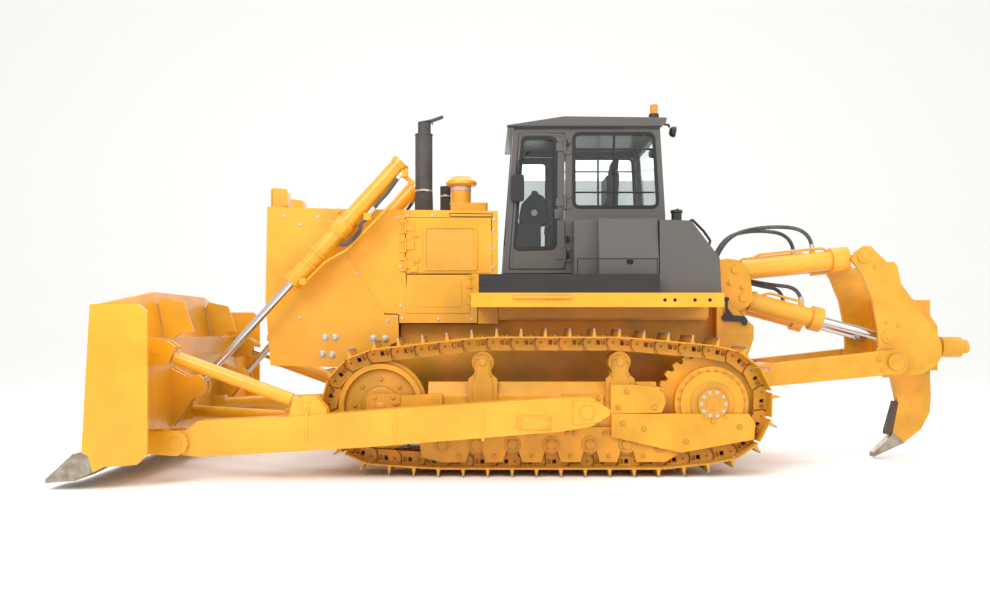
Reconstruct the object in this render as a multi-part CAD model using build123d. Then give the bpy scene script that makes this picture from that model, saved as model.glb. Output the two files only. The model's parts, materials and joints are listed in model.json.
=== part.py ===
"""Crawler bulldozer with a semi-U blade and a single-shank parallelogram ripper.

Frame: +X forward to the blade, +Y to the machine's left, +Z up, ground at Z = 0. Sizes in mm.
"""
from build123d import *
import math
import os

os.makedirs("parts", exist_ok=True)

# ---------------------------------------------------------------- driving sizes
TRACK_Y = 1070.0            # centre plane of a track
SHOE_HALF = 280.0           # half width of a track shoe
PITCH = 228.6               # pin to pin
LINKS = 41
SPROCKET = (-1454.0, 683.0)
SPROCKET_PIN_R = 495.7
IDLER_Z = 659.0
IDLER_PIN_R = 490.0
PIN_TO_RAIL = 76.0
PIN_TO_PLATE = 44.0
PLATE_T = 14.0
GROUSER_H = 74.0
ROLLER_R = 109.7            # tread radius of the bottom rollers
ROLLER_Z = 318.0
ROLLER_X = (1098.0, 782.0, 436.0, 68.0, -300.0, -647.0, -962.0)
CARRIER_R = 112.7
CARRIER_Z = 1071.0
CARRIER_X = (715.0, -585.0)
FRAME_IN, FRAME_OUT = 930.0, 1205.0   # faces of the track frame
YOKE_IN = 900.0             # inner face of the idler yoke

TRUNNION = (-230.0, 633.0)  # blade frame pivot
TRUNNION_R = 75.0
ARM_IN, ARM_OUT = 1400.0, 1620.0
ARM_FRONT_PIN = (3486.0, 353.0)
BRACE_Y = 1520.0
BRACE_REAR = (2323.0, 690.0)
BRACE_FRONT = (3694.0, 1186.0)

LIFT_Y = 850.0              # lift cylinder plane
LIFT_TOP = (2108.0, 2389.0)
LIFT_EYE = (3527.0, 830.0)
LIFT_BARREL_R = 82.0
LIFT_ROD_R = 38.0
LIFT_BARREL_UP = 880.0      # barrel length above the trunnion
LIFT_BARREL_DOWN = 735.0    # barrel length below the trunnion

BLADE_BEND_Y = 820.0
BLADE_END_Y = 2065.0
BLADE_BACK_X = 3770.0
LEDGE_Z = 1306.0

HOOD_HALF = 650.0
ENGINE_HINGE_X = 1496.5
CAB_HINGE_X = -105.0
CAB_HALF = 705.0
CAB_FLOOR_Z = 1950.0
ROOF_Z = 3400.0
DECK_Z0, DECK_Z1 = 1595.0, 1730.0
DECK_OUT = 1300.0
BOX_OUT = 1150.0

RIP_Y = 305.0               # plane of the ripper cylinders
TILT_BASE = (-1868.0, 2000.0)
TILT_EYE = (-3190.0, 2133.0)
RAISE_BASE = (-1950.0, 1708.0)
RAISE_EYE = (-3440.0, 1309.0)
LINK_FRONT = (-1950.0, 897.0)
LINK_REAR = (-3475.0, 1056.0)
PLATE_IN, PLATE_OUT = 440.0, 480.0
LINK_IN, LINK_OUT = 495.0, 575.0
SHANK_HALF = 45.0
FIT = 0.05                  # radial running fit of a pin in its bore
HINGE_OFF = 14.0            # door hinge axis off its wall
HINGE_PIN_R = 6.0

NODES = {}


# ---------------------------------------------------------------- helpers
def prism(points, y0, y1):
    """Polygon in X and Z carried from y0 to y1."""
    wire = Wire.make_polygon([Vector(x, y0, z) for x, z in points], close=True)
    return Part() + Solid.extrude(Face(wire), Vector(0, y1 - y0, 0))


def section_x(points, x0, x1):
    """Polygon in Y and Z carried from x0 to x1."""
    wire = Wire.make_polygon([Vector(x0, y, z) for y, z in points], close=True)
    return Part() + Solid.extrude(Face(wire), Vector(x1 - x0, 0, 0))


def plan(points, z0, z1):
    """Polygon in X and Y carried from z0 to z1."""
    wire = Wire.make_polygon([Vector(x, y, z0) for x, y in points], close=True)
    return Part() + Solid.extrude(Face(wire), Vector(0, 0, z1 - z0))


def box(x0, x1, y0, y1, z0, z1):
    """Box between two corners."""
    middle = ((x0 + x1) / 2, (y0 + y1) / 2, (z0 + z1) / 2)
    return Pos(*middle) * Box(abs(x1 - x0), abs(y1 - y0), abs(z1 - z0))


def bar(start, end, radius):
    """Round bar from one 3-D point to another."""
    way = Vector(*end) - Vector(*start)
    place = Plane(origin=start, z_dir=way)
    return Part() + Solid.make_cylinder(radius, way.length, place)


def bar_y(at, radius, y0, y1):
    """Round bar along Y at an X, Z point."""
    return bar((at[0], y0, at[1]), (at[0], y1, at[1]), radius)


def bar_z(x, y, radius, z0, z1):
    """Upright round bar."""
    return bar((x, y, z0), (x, y, z1), radius)


def mirrored(shape):
    """The same shape on the other side of the machine."""
    return mirror(shape, about=Plane.XZ)


def both(shape):
    """A shape and its mirror image together."""
    return Part() + shape + mirrored(shape)


def along(start, end, distance):
    """Point at a distance from start on the line toward end (X, Z)."""
    length = math.dist(start, end)
    share = distance / length
    return (start[0] + (end[0] - start[0]) * share, start[1] + (end[1] - start[1]) * share)


def bar_along(start, end, d0, d1, radius, y):
    """Round bar in a plane of constant Y between two distances on a line."""
    p = along(start, end, d0)
    q = along(start, end, d1)
    return bar((p[0], y, p[1]), (q[0], y, q[1]), radius)


def arc_points(centre, radius, from_deg, to_deg, count):
    """Points of an arc, angles from +X toward +Z."""
    out = []
    for i in range(count + 1):
        a = math.radians(from_deg + (to_deg - from_deg) * i / count)
        out.append((centre[0] + radius * math.cos(a), centre[1] + radius * math.sin(a)))
    return out


def hinge_pair(x, y, levels, way):
    """Leaf hinges on an upright axis: what the body keeps, and what swings.

    The leaf runs toward way * X from the axis; both straps lie on the wall at y.
    """
    axis_y = y + HINGE_OFF
    fixed, moving = Part(), Part()
    for z in levels:
        fixed += bar_z(x, axis_y, HINGE_PIN_R, z - 70, z + 70)
        for z0, z1 in ((z - 70, z - 41), (z + 41, z + 70)):
            fixed += bar_z(x, axis_y, HINGE_OFF, z0, z1)
            fixed += box(x - way * 60, x, y, y + HINGE_OFF, z0, z1)
        moving += bar_z(x, axis_y, HINGE_OFF, z - 40, z + 40)
        moving += box(x, x + way * 90, y, y + HINGE_OFF, z - 40, z + 40)
        moving -= bar_z(x, axis_y, HINGE_PIN_R + FIT, z - 41, z + 41)
    return fixed, moving


def save(name, shape):
    """Keep a shape as the node of that name."""
    NODES[name] = shape


def save_pair(name, shape):
    """Keep a left shape and its mirrored right one as two nodes."""
    save(name + "_left", shape)
    save(name + "_right", mirrored(shape))


def save_both(name, shape):
    """Keep a left shape and its mirrored right one as one node."""
    save(name, both(shape))


# ---------------------------------------------------------------- track chain
def hull(points):
    """Convex hull, counter-clockwise."""
    points = sorted(set(points))

    def half(seq):
        out = []
        for p in seq:
            while len(out) > 1:
                (ax, az), (bx, bz) = out[-2], out[-1]
                if (bx - ax) * (p[1] - az) - (bz - az) * (p[0] - ax) > 0:
                    break
                out.pop()
            out.append(p)
        return out[:-1]

    return half(points) + half(reversed(points))


def belt(idler_x):
    """Path of the pins round sprocket, idler and rollers."""
    rounds = [(SPROCKET, SPROCKET_PIN_R), ((idler_x, IDLER_Z), IDLER_PIN_R)]
    rounds += [((x, ROLLER_Z), ROLLER_R + 0.3 + PIN_TO_RAIL) for x in ROLLER_X]
    rounds += [((x, CARRIER_Z), CARRIER_R + 0.3 + PIN_TO_RAIL) for x in CARRIER_X]
    points = []
    for centre, radius in rounds:
        points += arc_points(centre, radius, 0.0, 359.5, 719)
    return hull([(round(x, 4), round(z, 4)) for x, z in points])


def step_pins(path):
    """Pins stepped round the path at the pitch, and what is left to close the loop."""
    start = path.index(min(path, key=lambda p: (p[1] > 135, abs(p[0]))))
    path = path[start:] + path[:start] + [path[start]] + path[start + 1:start + 3]
    pins = [path[0]]
    seg = 0
    here = path[0]
    for _ in range(LINKS):
        a = here
        while math.dist(here, path[seg + 1]) < PITCH and seg + 2 < len(path):
            seg += 1
            a = path[seg]
        b = path[seg + 1]
        lo, hi = 0.0, 1.0
        for _ in range(50):
            mid = (lo + hi) / 2
            p = (a[0] + (b[0] - a[0]) * mid, a[1] + (b[1] - a[1]) * mid)
            if math.dist(here, p) < PITCH:
                lo = mid
            else:
                hi = mid
        here = p
        pins.append(here)
    return pins


def solve_idler():
    """Idler position that closes the chain."""
    lo, hi = 1600.0, 1760.0
    for _ in range(30):
        mid = (lo + hi) / 2
        pins = step_pins(belt(mid))
        if pins[-1][0] > pins[0][0]:
            lo = mid
        else:
            hi = mid
    return mid, pins[:-1]


def offset_corner(pins, i, rise):
    """Corner of the chain line moved outward at pin i."""
    a, b, c = pins[i - 1], pins[i], pins[(i + 1) % len(pins)]
    u = ((b[0] - a[0]) / PITCH, (b[1] - a[1]) / PITCH)
    v = ((c[0] - b[0]) / PITCH, (c[1] - b[1]) / PITCH)
    n = (u[1] + v[1], -(u[0] + v[0]))
    size = math.hypot(*n)
    cosine = size / 2
    return (b[0] + n[0] / size * rise / cosine, b[1] + n[1] / size * rise / cosine)


IDLER_X, PINS = solve_idler()
print("idler x", round(IDLER_X, 1), "pins", len(PINS))


def chain_ring(rise):
    """Closed polygon of the chain at a height over the pins."""
    return [offset_corner(PINS, i, rise) for i in range(len(PINS))]


def shoe_outline():
    """Outer outline with a grouser on every shoe."""
    top = PIN_TO_PLATE + PLATE_T
    grouser = ((18.0, 0.0), (24.0, GROUSER_H), (40.0, GROUSER_H), (46.0, 0.0))
    out = []
    for i, a in enumerate(PINS):
        b = PINS[(i + 1) % len(PINS)]
        u = ((b[0] - a[0]) / PITCH, (b[1] - a[1]) / PITCH)
        n = (u[1], -u[0])
        out.append(offset_corner(PINS, i, top))
        for s, h in grouser:
            out.append((a[0] + u[0] * s + n[0] * (top + h), a[1] + u[1] * s + n[1] * (top + h)))
    return out


shoes = prism(shoe_outline(), TRACK_Y - SHOE_HALF, TRACK_Y + SHOE_HALF)
shoes -= prism(chain_ring(PIN_TO_PLATE), TRACK_Y - SHOE_HALF - 1, TRACK_Y + SHOE_HALF + 1)
inner = chain_ring(-PIN_TO_RAIL)
for y0, y1 in ((-112.0, -62.0), (62.0, 112.0)):
    rail = prism(chain_ring(PIN_TO_PLATE + PLATE_T / 2), TRACK_Y + y0, TRACK_Y + y1)
    rail -= prism(inner, TRACK_Y + y0 - 1, TRACK_Y + y1 + 1)
    shoes += rail
save_pair("track_loop", shoes)

# sprocket: 27 teeth reach between the chain's links
teeth = []
for i in range(27):
    for share, radius in ((0.0, 455.0), (0.28, 455.0), (0.42, 500.0), (0.86, 500.0)):
        a = 2 * math.pi * (i + share) / 27
        teeth.append((SPROCKET[0] + radius * math.cos(a), SPROCKET[1] + radius * math.sin(a)))
sprocket = prism(teeth, TRACK_Y - 45, TRACK_Y + 45)
sprocket += bar_y(SPROCKET, 350.0, TRACK_Y + 45, TRACK_Y + 150)
sprocket += bar_y(SPROCKET, 300.0, TRACK_Y + 150, TRACK_Y + 175)
sprocket += bar_y(SPROCKET, 85.0, TRACK_Y + 175, TRACK_Y + 215)
save_both("sprockets", sprocket)

idler_at = (IDLER_X, IDLER_Z)
IDLER_TREAD_R = 400.0
idler = bar_y(idler_at, IDLER_TREAD_R, TRACK_Y - 112, TRACK_Y + 112)
idler += bar_y(idler_at, IDLER_PIN_R - PIN_TO_RAIL + 22, TRACK_Y - 52, TRACK_Y + 52)
for side in (-1, 1):
    recess = bar_y(idler_at, 350.0, TRACK_Y + side * 45, TRACK_Y + side * 113)
    recess -= bar_y(idler_at, 120.0, TRACK_Y + side * 45, TRACK_Y + side * 113)
    idler -= recess
idler += bar_y(idler_at, 80.0, FRAME_IN, FRAME_OUT)
save_both("idlers", idler)

rollers = Part()
for x in ROLLER_X:
    at = (x, ROLLER_Z)
    rollers += bar_y(at, ROLLER_R - 5, TRACK_Y - 136, TRACK_Y + 136)
    rollers += bar_y(at, 128.0, TRACK_Y + 116, TRACK_Y + 134)
    rollers += bar_y(at, 128.0, TRACK_Y - 134, TRACK_Y - 116)
for x in CARRIER_X:
    at = (x, CARRIER_Z)
    rollers += bar_y(at, CARRIER_R - 7, TRACK_Y - 119, TRACK_Y + 120)
    rollers += bar_y(at, 70.0, TRACK_Y + 120, TRACK_Y + 136)
save_both("rollers", rollers)

# ---------------------------------------------------------------- track frame
beam_section = [
    (FRAME_IN, 450), (FRAME_OUT, 450), (FRAME_OUT, 750),
    (FRAME_OUT - 60, 884), (FRAME_IN + 50, 884), (FRAME_IN, 800),
]
frame = section_x(beam_section, -940, 1235)
frame += box(579, 853, 1010, 1150, 884, 886 + 20)
for x in CARRIER_X:
    # carrier post stands inboard of its roller and carries the shaft
    frame += box(x - 70, x + 70, FRAME_IN + 5, 946, 800, CARRIER_Z + 60)
    frame += bar_y((x, CARRIER_Z), 30.0, 940, 951)
# idler yoke arms on both faces of the idler
for y0, y1 in ((YOKE_IN, FRAME_IN), (FRAME_OUT, FRAME_OUT + 45)):
    arm = prism([(1100, 780), (IDLER_X + 120, 740), (IDLER_X + 120, 590), (1500, 440), (1100, 440)], y0, y1)
    frame += arm
# roller guards hang outside the rollers
guard = [
    (1315, 362), (1299, 174), (1096, 126), (-1010, 130), (-1130, 200), (-1130, 450), (1235, 450),
]
holes = []
for y0, y1 in ((905.0, 925.0), (1215.0, 1240.0)):
    plate = prism(guard, y0, y1)
    for x in ROLLER_X:
        cut = [(x - 95, 120), (x + 95, 120), (x + 60, 235), (x - 60, 235)]
        if -900 < x < 1000:
            plate -= prism(cut, y0 - 1, y1 + 1)
    frame += plate
frame += box(-940, 1235, 905, 1240, 448, 462)
for x in ROLLER_X:
    frame += bar_y((x, ROLLER_Z), 40.0, TRACK_Y + 136, 1222)
    frame += bar_y((x, ROLLER_Z), 40.0, 918, TRACK_Y - 136)
# outer rear covers and the beam that runs under the sprocket
frame += prism([(-490, 865), (-690, 865), (-971, 841), (-1010, 700), (-971, 600), (-490, 591)], 1205, 1280)
frame += prism([(-495, 591), (-1790, 591), (-1850, 500), (-1838, 349), (-1151, 224), (-495, 373)], 1250, 1290)
frame += box(-940, -495, 1205, 1250, 450, 700)
# trunnion on which the push arm turns
frame += bar_y(TRUNNION, 120.0, FRAME_OUT, 1385)
frame += bar_y(TRUNNION, TRUNNION_R, 1385, ARM_OUT - 15)
frame += box(-420, -40, 1205, 1245, 500, 770)
save_both("track_frames", frame)

# ---------------------------------------------------------------- hull and running gear joins
hull_side = [
    (2184, 1004), (2184, 760), (1700, 640), (-1300, 600), (-1640, 760), (-1640, 1700),
    (565, 1700), (565, 1440), (1560, 1440), (1566, 1263), (2184, 1004),
][:-1]
main_frame = prism(hull_side, -470, 470)
main_frame += box(-1540, 560, -640, 640, 1480, 1700)
main_frame += box(-1100, -820, -FRAME_IN, FRAME_IN, 620, 790)
main_frame += box(1110, 1230, -YOKE_IN, YOKE_IN, 640, 740)
main_frame += both(bar_y(SPROCKET, 180.0, 460, 650) + bar_y(SPROCKET, 330.0, 650, TRACK_Y - 45))
save("main_frame", main_frame)

# ---------------------------------------------------------------- radiator guard, hood, engine
guard_side = [
    (2890, 2622), (2907, 1660), (2858, 1024), (2184, 1004), (1566, 1263), (1566, 1538),
    (1692, 1538), (2108, 2162), (2108, 2598),
]
guard_inner = [
    (2850, 2582), (2867, 1660), (2820, 1064), (2200, 1050), (1560, 1310), (1560, 1538),
    (1692, 1538), (2108, 2162), (2000, 2582),
]
guard_solid = prism(guard_side, -HOOD_HALF, HOOD_HALF)
radiator_guard = guard_solid - prism(guard_inner, -HOOD_HALF + 40, HOOD_HALF - 40)
radiator_guard -= box(2700, 3000, -560, 560, 1140, 2480)
radiator_guard -= box(1500, 2184, -471, 471, 900, 1450)
save("radiator_guard", radiator_guard)

door_front = [(2887, 2480), (2904, 1660), (2862, 1140), (2827, 1140), (2869, 1660), (2852, 2480)]
radiator_door = prism(door_front, -560, 560)
save("radiator_door", radiator_door)
save("radiator_core", box(2420, 2560, -HOOD_HALF + 40, HOOD_HALF - 40, 1130, 2540))
engine = box(900, 2050, -300, 300, 1440, 2150)
engine += box(1000, 1950, -180, 180, 2150, 2380)
engine += box(760, 900, -340, 340, 1450, 2050)
save("engine_block", engine)

hood_side = [(565, 2579), (2108, 2598), (2108, 2162), (1692, 1538), (1566, 1538), (1566, 1443), (565, 1443)]
hood_solid = prism(hood_side, -HOOD_HALF, HOOD_HALF)
hood_cut = [(560, 2539), (2120, 2558), (2120, 2162), (1692, 1500), (1566, 1400), (560, 1400)]
hood = hood_solid - prism(hood_cut, -HOOD_HALF + 30, HOOD_HALF - 30)
hood -= box(560, 1500, -HOOD_HALF - 1, HOOD_HALF + 1, 1950, 2514)
hood += box(565, 595, -HOOD_HALF, HOOD_HALF, 1702, 2579)
hood += both(box(595, 625, HOOD_HALF - 30, HOOD_HALF, 1443, 2579))
hood_hinge, door_hinge = hinge_pair(ENGINE_HINGE_X, HOOD_HALF, (2040, 2230, 2420), -1)
hood += both(hood_hinge)
save("hood", hood)

upper_door = box(635, 1493, HOOD_HALF - 25, HOOD_HALF, 1954, 2510)
upper_door -= box(800, 1294, HOOD_HALF - 6, HOOD_HALF + 1, 1998, 2405)
save_pair("engine_door", upper_door + door_hinge)

stack = bar_z(1341, 200, 91.0, 2570, 3442)
stack += bar_z(1336, 200, 68.0, 3442, 3560)
stack += prism([(1404, 3562), (1262, 3590), (1141, 3632), (1136, 3618), (1262, 3572), (1400, 3548)], 150, 250)
save("exhaust_stack", stack - hood_solid)
cleaner = box(669, 1059, 60, 340, 2570, 2707)
cleaner += bar_z(950, 200, 108.5, 2707, 2925)
cleaner += bar_z(942, 200, 163.5, 2925, 2960)
cleaner += bar_z(942, 200, 120.0, 2960, 2985)
cleaner += bar_z(1131, -200, 56.0, 2570, 2986)
save("air_intakes", cleaner - hood_solid)

lamps = Part()
lamp_side = [(2698, 2600), (2885, 2600), (2885, 2832), (2760, 2806), (2698, 2717)]
lamps += both(prism(lamp_side, 330, 520)) - guard_solid

# ---------------------------------------------------------------- deck, boxes, tank
deck = box(-1554, 829, HOOD_HALF + 5, DECK_OUT - 40, DECK_Z1 - 30, DECK_Z1)
deck += box(-1554, 829, DECK_OUT - 40, DECK_OUT, DECK_Z0, DECK_Z1)
deck += box(-1554, 560, 640, 655, 1500, DECK_Z1)
for x in (-1500.0, -700.0, 100.0, 760.0):
    deck += box(x - 20, x + 20, 650, DECK_OUT - 40, DECK_Z0 + 20, DECK_Z1 - 30)
save_both("fender_decks", deck)

strip = box(-950, 754, DECK_OUT - 60, DECK_OUT, DECK_Z1, 1906)
save_both("side_strips", strip)

box_section = [(CAB_HALF + 12, DECK_Z1), (BOX_OUT, DECK_Z1), (BOX_OUT, 2077), (BOX_OUT - 60, 2452), (CAB_HALF + 12, 2452)]
side_box = section_x(box_section, -965, -397)
side_box += box(-397, -171, CAB_HALF + 12, 1000, DECK_Z1, 2452)
save_both("side_boxes", side_box)

tank_side = [
    (-975, DECK_Z1), (-975, 2435), (-1275, 2426), (-1548, 2068), (-1565, DECK_Z1),
]
tank = prism(tank_side, -BOX_OUT, BOX_OUT)
tank += bar_z(-1223, 700, 40.0, 2400, 2576)
save("fuel_tank", tank)

# ---------------------------------------------------------------- cab
cab_side = [
    (517, CAB_FLOOR_Z), (410, ROOF_Z), (-1057, ROOF_Z), (-1110, 2531), (-1110, 2450), (-965, 2450), (-965, CAB_FLOOR_Z),
]
cab_void = [
    (455, CAB_FLOOR_Z + 40), (352, ROOF_Z - 1), (352, ROOF_Z + 1), (-997, ROOF_Z + 1), (-1050, 2531), (-1050, 2500),
    (-905, 2500), (-905, CAB_FLOOR_Z + 40),
]
door_hole = [(458, 1985), (358, 3355), (-109, 3355), (-109, 1985)]
side_window = [(-195, 3345), (-195, 2612), (-1035, 2612), (-990, 3345)]
cab = prism(cab_side, -CAB_HALF, CAB_HALF)
cab -= prism(cab_void, -CAB_HALF + 50, CAB_HALF - 50)
for side in (-1, 1):
    outer, inner_y = side * (CAB_HALF + 1), side * (CAB_HALF - 51)
    cab -= prism(door_hole, inner_y, outer)
    cab -= prism(side_window, inner_y, outer)
cab -= box(300, 600, -600, 600, 2240, 3320)
cab -= box(-1200, -980, -560, 560, 2640, 3330)
cab += box(-965, 517, -638, 638, 1700, CAB_FLOOR_Z)
cab_hinge, cab_door_hinge = hinge_pair(CAB_HINGE_X, CAB_HALF, (2130, 2660, 3210), 1)
cab += both(cab_hinge)
save("cab_shell", cab)

roof_side = [
    (473, ROOF_Z), (480, 3425), (-91, 3514), (-1120, 3502), (-1112, 3452), (-1057, ROOF_Z),
]
roof = prism(roof_side, -CAB_HALF - 30, CAB_HALF + 30)
save("cab_roof", roof)

glass = both(prism(side_window, CAB_HALF - 20, CAB_HALF - 14))
slope = (410 - 517) / (ROOF_Z - CAB_FLOOR_Z)
front_pane = []
for z, back in ((2240, 20), (3320, 20), (3320, 26), (2240, 26)):
    front_pane.append((517 + slope * (z - CAB_FLOOR_Z) - back, z))
glass += prism(front_pane, -600, 600)
rear_x = (-1110 + 1057) / (2531 - ROOF_Z)
rear_pane = [(-1110 + rear_x * (z - 2531) + back, z) for z, back in ((2640, 20), (3330, 20), (3330, 26), (2640, 26))]
glass += prism(rear_pane, -560, 560)
save("cab_glass", glass)

door_leaf = [(451, 1992), (352, 3348), (-102, 3348), (-102, 1992)]
door_window = [(405, 2191), (320, 3300), (-11, 3300), (-5, 2200)]
cab_door = prism(door_leaf, CAB_HALF - 45, CAB_HALF)
cab_door -= prism(door_window, CAB_HALF - 46, CAB_HALF + 1)
save_pair("cab_door", cab_door + cab_door_hinge)
save_pair("cab_door_glass", prism(door_window, CAB_HALF - 24, CAB_HALF - 18))

seat = box(-620, -160, -260, 260, 2230, 2380)
seat += box(-700, -580, -240, 240, 2380, 3000)
seat += box(-560, -220, -200, 200, CAB_FLOOR_Z + 40, 2230)
seat += box(120, 380, -420, 420, CAB_FLOOR_Z + 40, 2480)
save("cab_interior", seat)

beacon = bar_z(-1021, 550, 50.0, 3504, 3576)
beacon += bar_z(-1021, 550, 40.0, 3576, 3667)
save("beacon", beacon)
lamps += both(box(-1265, -1090, 540, 660, 3400, 3500)) - roof
save("lamps", lamps)

# ---------------------------------------------------------------- blade frame
arm_outline = [
    (3400, 470), (3300, 554), (2375, 597), (1411, 669), (597, 725), (13, 762),
]
arm_outline += arc_points(TRUNNION, 135.0, 90, 270, 10)
arm_outline += [(13, 456), (1079, 371), (1803, 313), (2375, 280), (3300, 228)]
arm_outline += arc_points(ARM_FRONT_PIN, 105.0, -100, 70, 8)
arm = prism(arm_outline, ARM_IN, ARM_OUT)
arm -= bar_y(TRUNNION, TRUNNION_R + FIT, ARM_IN - 1, ARM_OUT - 10)
arm += prism([(-105, 741), (-338, 719), (-443, 658), (-440, 610), (-338, 545), (-105, 523)], ARM_OUT, ARM_OUT + 12)
arm += bar_y(TRUNNION, 60.0, ARM_OUT + 12, ARM_OUT + 32)
bracket = [(2125, 600), (2140, 670), (2230, 775), (2345, 785), (2450, 720), (2480, 580)]
for y in (-60.0, 60.0):
    arm += prism(bracket, BRACE_Y + y - 15, BRACE_Y + y + 15)
push_arms = both(arm)

# brace on the left, tilt cylinder on the right
brace = bar_along(BRACE_REAR, BRACE_FRONT, 0, math.dist(BRACE_REAR, BRACE_FRONT), 45.0, BRACE_Y)
brace += bar_along(BRACE_REAR, BRACE_FRONT, 150, 1290, 62.0, BRACE_Y)
for at in (BRACE_REAR, BRACE_FRONT):
    brace += bar_y(at, 62.0, BRACE_Y - 44, BRACE_Y + 44)
save("brace_strut", brace)
tilt = bar_along(BRACE_REAR, BRACE_FRONT, 190, 960, 88.0, -BRACE_Y)
tilt += bar_along(BRACE_REAR, BRACE_FRONT, 960, 1030, 96.0, -BRACE_Y)
tilt += bar_y(BRACE_REAR, 62.0, -BRACE_Y - 44, -BRACE_Y + 44)
tilt += bar_along(BRACE_REAR, BRACE_FRONT, 0, 200, 40.0, -BRACE_Y)
save("blade_tilt_barrel", tilt)
tilt_rod = bar_along(BRACE_REAR, BRACE_FRONT, 1030, math.dist(BRACE_REAR, BRACE_FRONT), 45.0, -BRACE_Y)
tilt_rod += bar_y(BRACE_FRONT, 66.0, -BRACE_Y - 44, -BRACE_Y + 44)
save("blade_tilt_rod", tilt_rod)

DIAG_REAR = (2470.0, 1330.0, 560.0)
DIAG_FRONT = (3680.0, 560.0, 560.0)
diagonal = bar(DIAG_REAR, DIAG_FRONT, 60.0)
diagonal += box(2380, 2560, 1290, ARM_IN, 480, 640)
diagonal += box(3640, BLADE_BACK_X, 470, 650, 480, 640)
save_both("diagonal_braces", diagonal)


# ---------------------------------------------------------------- blade
def blade_profile(y, front_top, front_mid, front_low, top_t):
    """Blade cross-section at one Y: curved face, thin top, box behind."""
    top, mid, low = [Vector(p[0], y, p[1]) for p in (front_top, front_mid, front_low)]
    corners = [
        (front_low[0], front_low[1]), (front_low[0] - 60, front_low[1] - 60), (BLADE_BACK_X, 262),
        (BLADE_BACK_X, LEDGE_Z), (front_mid[0] - 25, LEDGE_Z), (front_top[0] - top_t, front_top[1]),
        (front_top[0], front_top[1]),
    ]
    points = [Vector(x, y, z) for x, z in corners]
    edges = [Edge.make_line(a, b) for a, b in zip(points, points[1:])]
    edges.append(Edge.make_three_point_arc(top, mid, low))
    return Face(Wire(edges))


CENTRE_FACE = ((4000, 1756), (3900, 1000), (4100, 300))
WING_FACE = ((4085, 1600), (3985, 930), (4150, 300))
END_PLATE_T = 35.0
centre = blade_profile(-BLADE_BEND_Y, *CENTRE_FACE, 42)
blade = Part() + Solid.extrude(centre, Vector(0, 2 * BLADE_BEND_Y, 0))
for side in (-1, 1):
    near = blade_profile(side * BLADE_BEND_Y, *CENTRE_FACE, 42)
    far = blade_profile(side * (BLADE_END_Y - END_PLATE_T), *WING_FACE, 42)
    blade += Solid.make_loft([near.outer_wire(), far.outer_wire()], True)
end_plate = [
    (4095, 1590), (4080, 1605), (3680, 1605), (3600, 1540), (3600, 303), (3692, 218), (3969, 200),
    (4070, 152), (4110, 300), (4168, 320),
]
blade += both(prism(end_plate, BLADE_END_Y - END_PLATE_T, BLADE_END_Y))
gusset = [(3673, 1652), (3576, 1360), (3708, 1353), (3771, 1298), (3861, 1300), (3930, 1640), (3890, 1700)]
for y in (BLADE_BEND_Y - 15, ):
    blade += both(prism(gusset, y - 15, y + 15))
upper_bracket = [(3788, 1309), (3589, 1285), (3507, 1227), (3577, 1069), (3729, 1050), (3788, 1040)]
clevis = [(3772, 454), (3475, 470), (3400, 430), (3375, 353), (3400, 280), (3475, 240), (3772, 262)]
lug = [(3772, 1010), (3620, 930)] + arc_points(LIFT_EYE, 110.0, 60, 240, 8) + [(3560, 700), (3772, 420)]
for side in (-1, 1):
    for y in (-62.0, 62.0):
        mid = side * BRACE_Y + y
        blade += prism(upper_bracket, mid - 16, mid + 16)
        mid = side * LIFT_Y + y
        blade += prism(lug, mid - 16, mid + 16)
    for y0, y1 in ((ARM_IN - 42, ARM_IN - 2), (ARM_OUT + 2, ARM_OUT + 42)):
        blade += prism(clevis, side * y0, side * y1)
    blade += bar_y(ARM_FRONT_PIN, 54.9, side * (ARM_IN - 45), side * (ARM_OUT + 50))
    blade += bar_y(BRACE_FRONT, 34.9, side * (BRACE_Y - 84), side * (BRACE_Y + 84))
save("blade", blade)
push_arms -= both(bar_y(ARM_FRONT_PIN, 55.0, ARM_IN - 5, ARM_OUT + 5))
save("push_arms", push_arms)
for name, side in (("brace_strut", 1), ("blade_tilt_rod", -1)):
    NODES[name] -= bar_y(BRACE_FRONT, 35.0, side * (BRACE_Y - 90), side * (BRACE_Y + 90))

edge_profile = [(4068, 300), (4128, 345), (4395, 96), (4395, 58), (4345, 58)]
edges = prism(edge_profile, -1640, 1640)
bit_profile = [(4112, 340), (4245, 310), (4476, 96), (4476, 61), (4222, 80), (4072, 152)]
edges += both(prism(bit_profile, 1640, BLADE_END_Y))
save("cutting_edges", edges - blade)

# ---------------------------------------------------------------- lift cylinders
yoke = box(2000, 2230, HOOD_HALF, HOOD_HALF + 40, 2230, 2560)
yoke += box(2020, 2200, HOOD_HALF + 40, LIFT_Y - 105, 2300, 2480)
yoke += bar_y(LIFT_TOP, 40.0, HOOD_HALF + 40, LIFT_Y - 60)
save_both("lift_yokes", yoke)

barrel = bar_along(LIFT_TOP, LIFT_EYE, -LIFT_BARREL_UP, LIFT_BARREL_DOWN, LIFT_BARREL_R, LIFT_Y)
barrel += bar_along(LIFT_TOP, LIFT_EYE, LIFT_BARREL_DOWN - 90, LIFT_BARREL_DOWN, 94.0, LIFT_Y)
barrel += bar_along(LIFT_TOP, LIFT_EYE, -LIFT_BARREL_UP, -LIFT_BARREL_UP + 60, 92.0, LIFT_Y)
barrel += bar_along(LIFT_TOP, LIFT_EYE, -75, 75, 98.0, LIFT_Y)
bore = bar_along(LIFT_TOP, LIFT_EYE, -LIFT_BARREL_UP + 40, LIFT_BARREL_DOWN + 5, LIFT_ROD_R + FIT, LIFT_Y)
barrel -= bore
barrel -= bar_y(LIFT_TOP, 40.0 + FIT, LIFT_Y - 110, LIFT_Y - 59)
save_both("lift_barrels", barrel)
length = math.dist(LIFT_TOP, LIFT_EYE)
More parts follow.
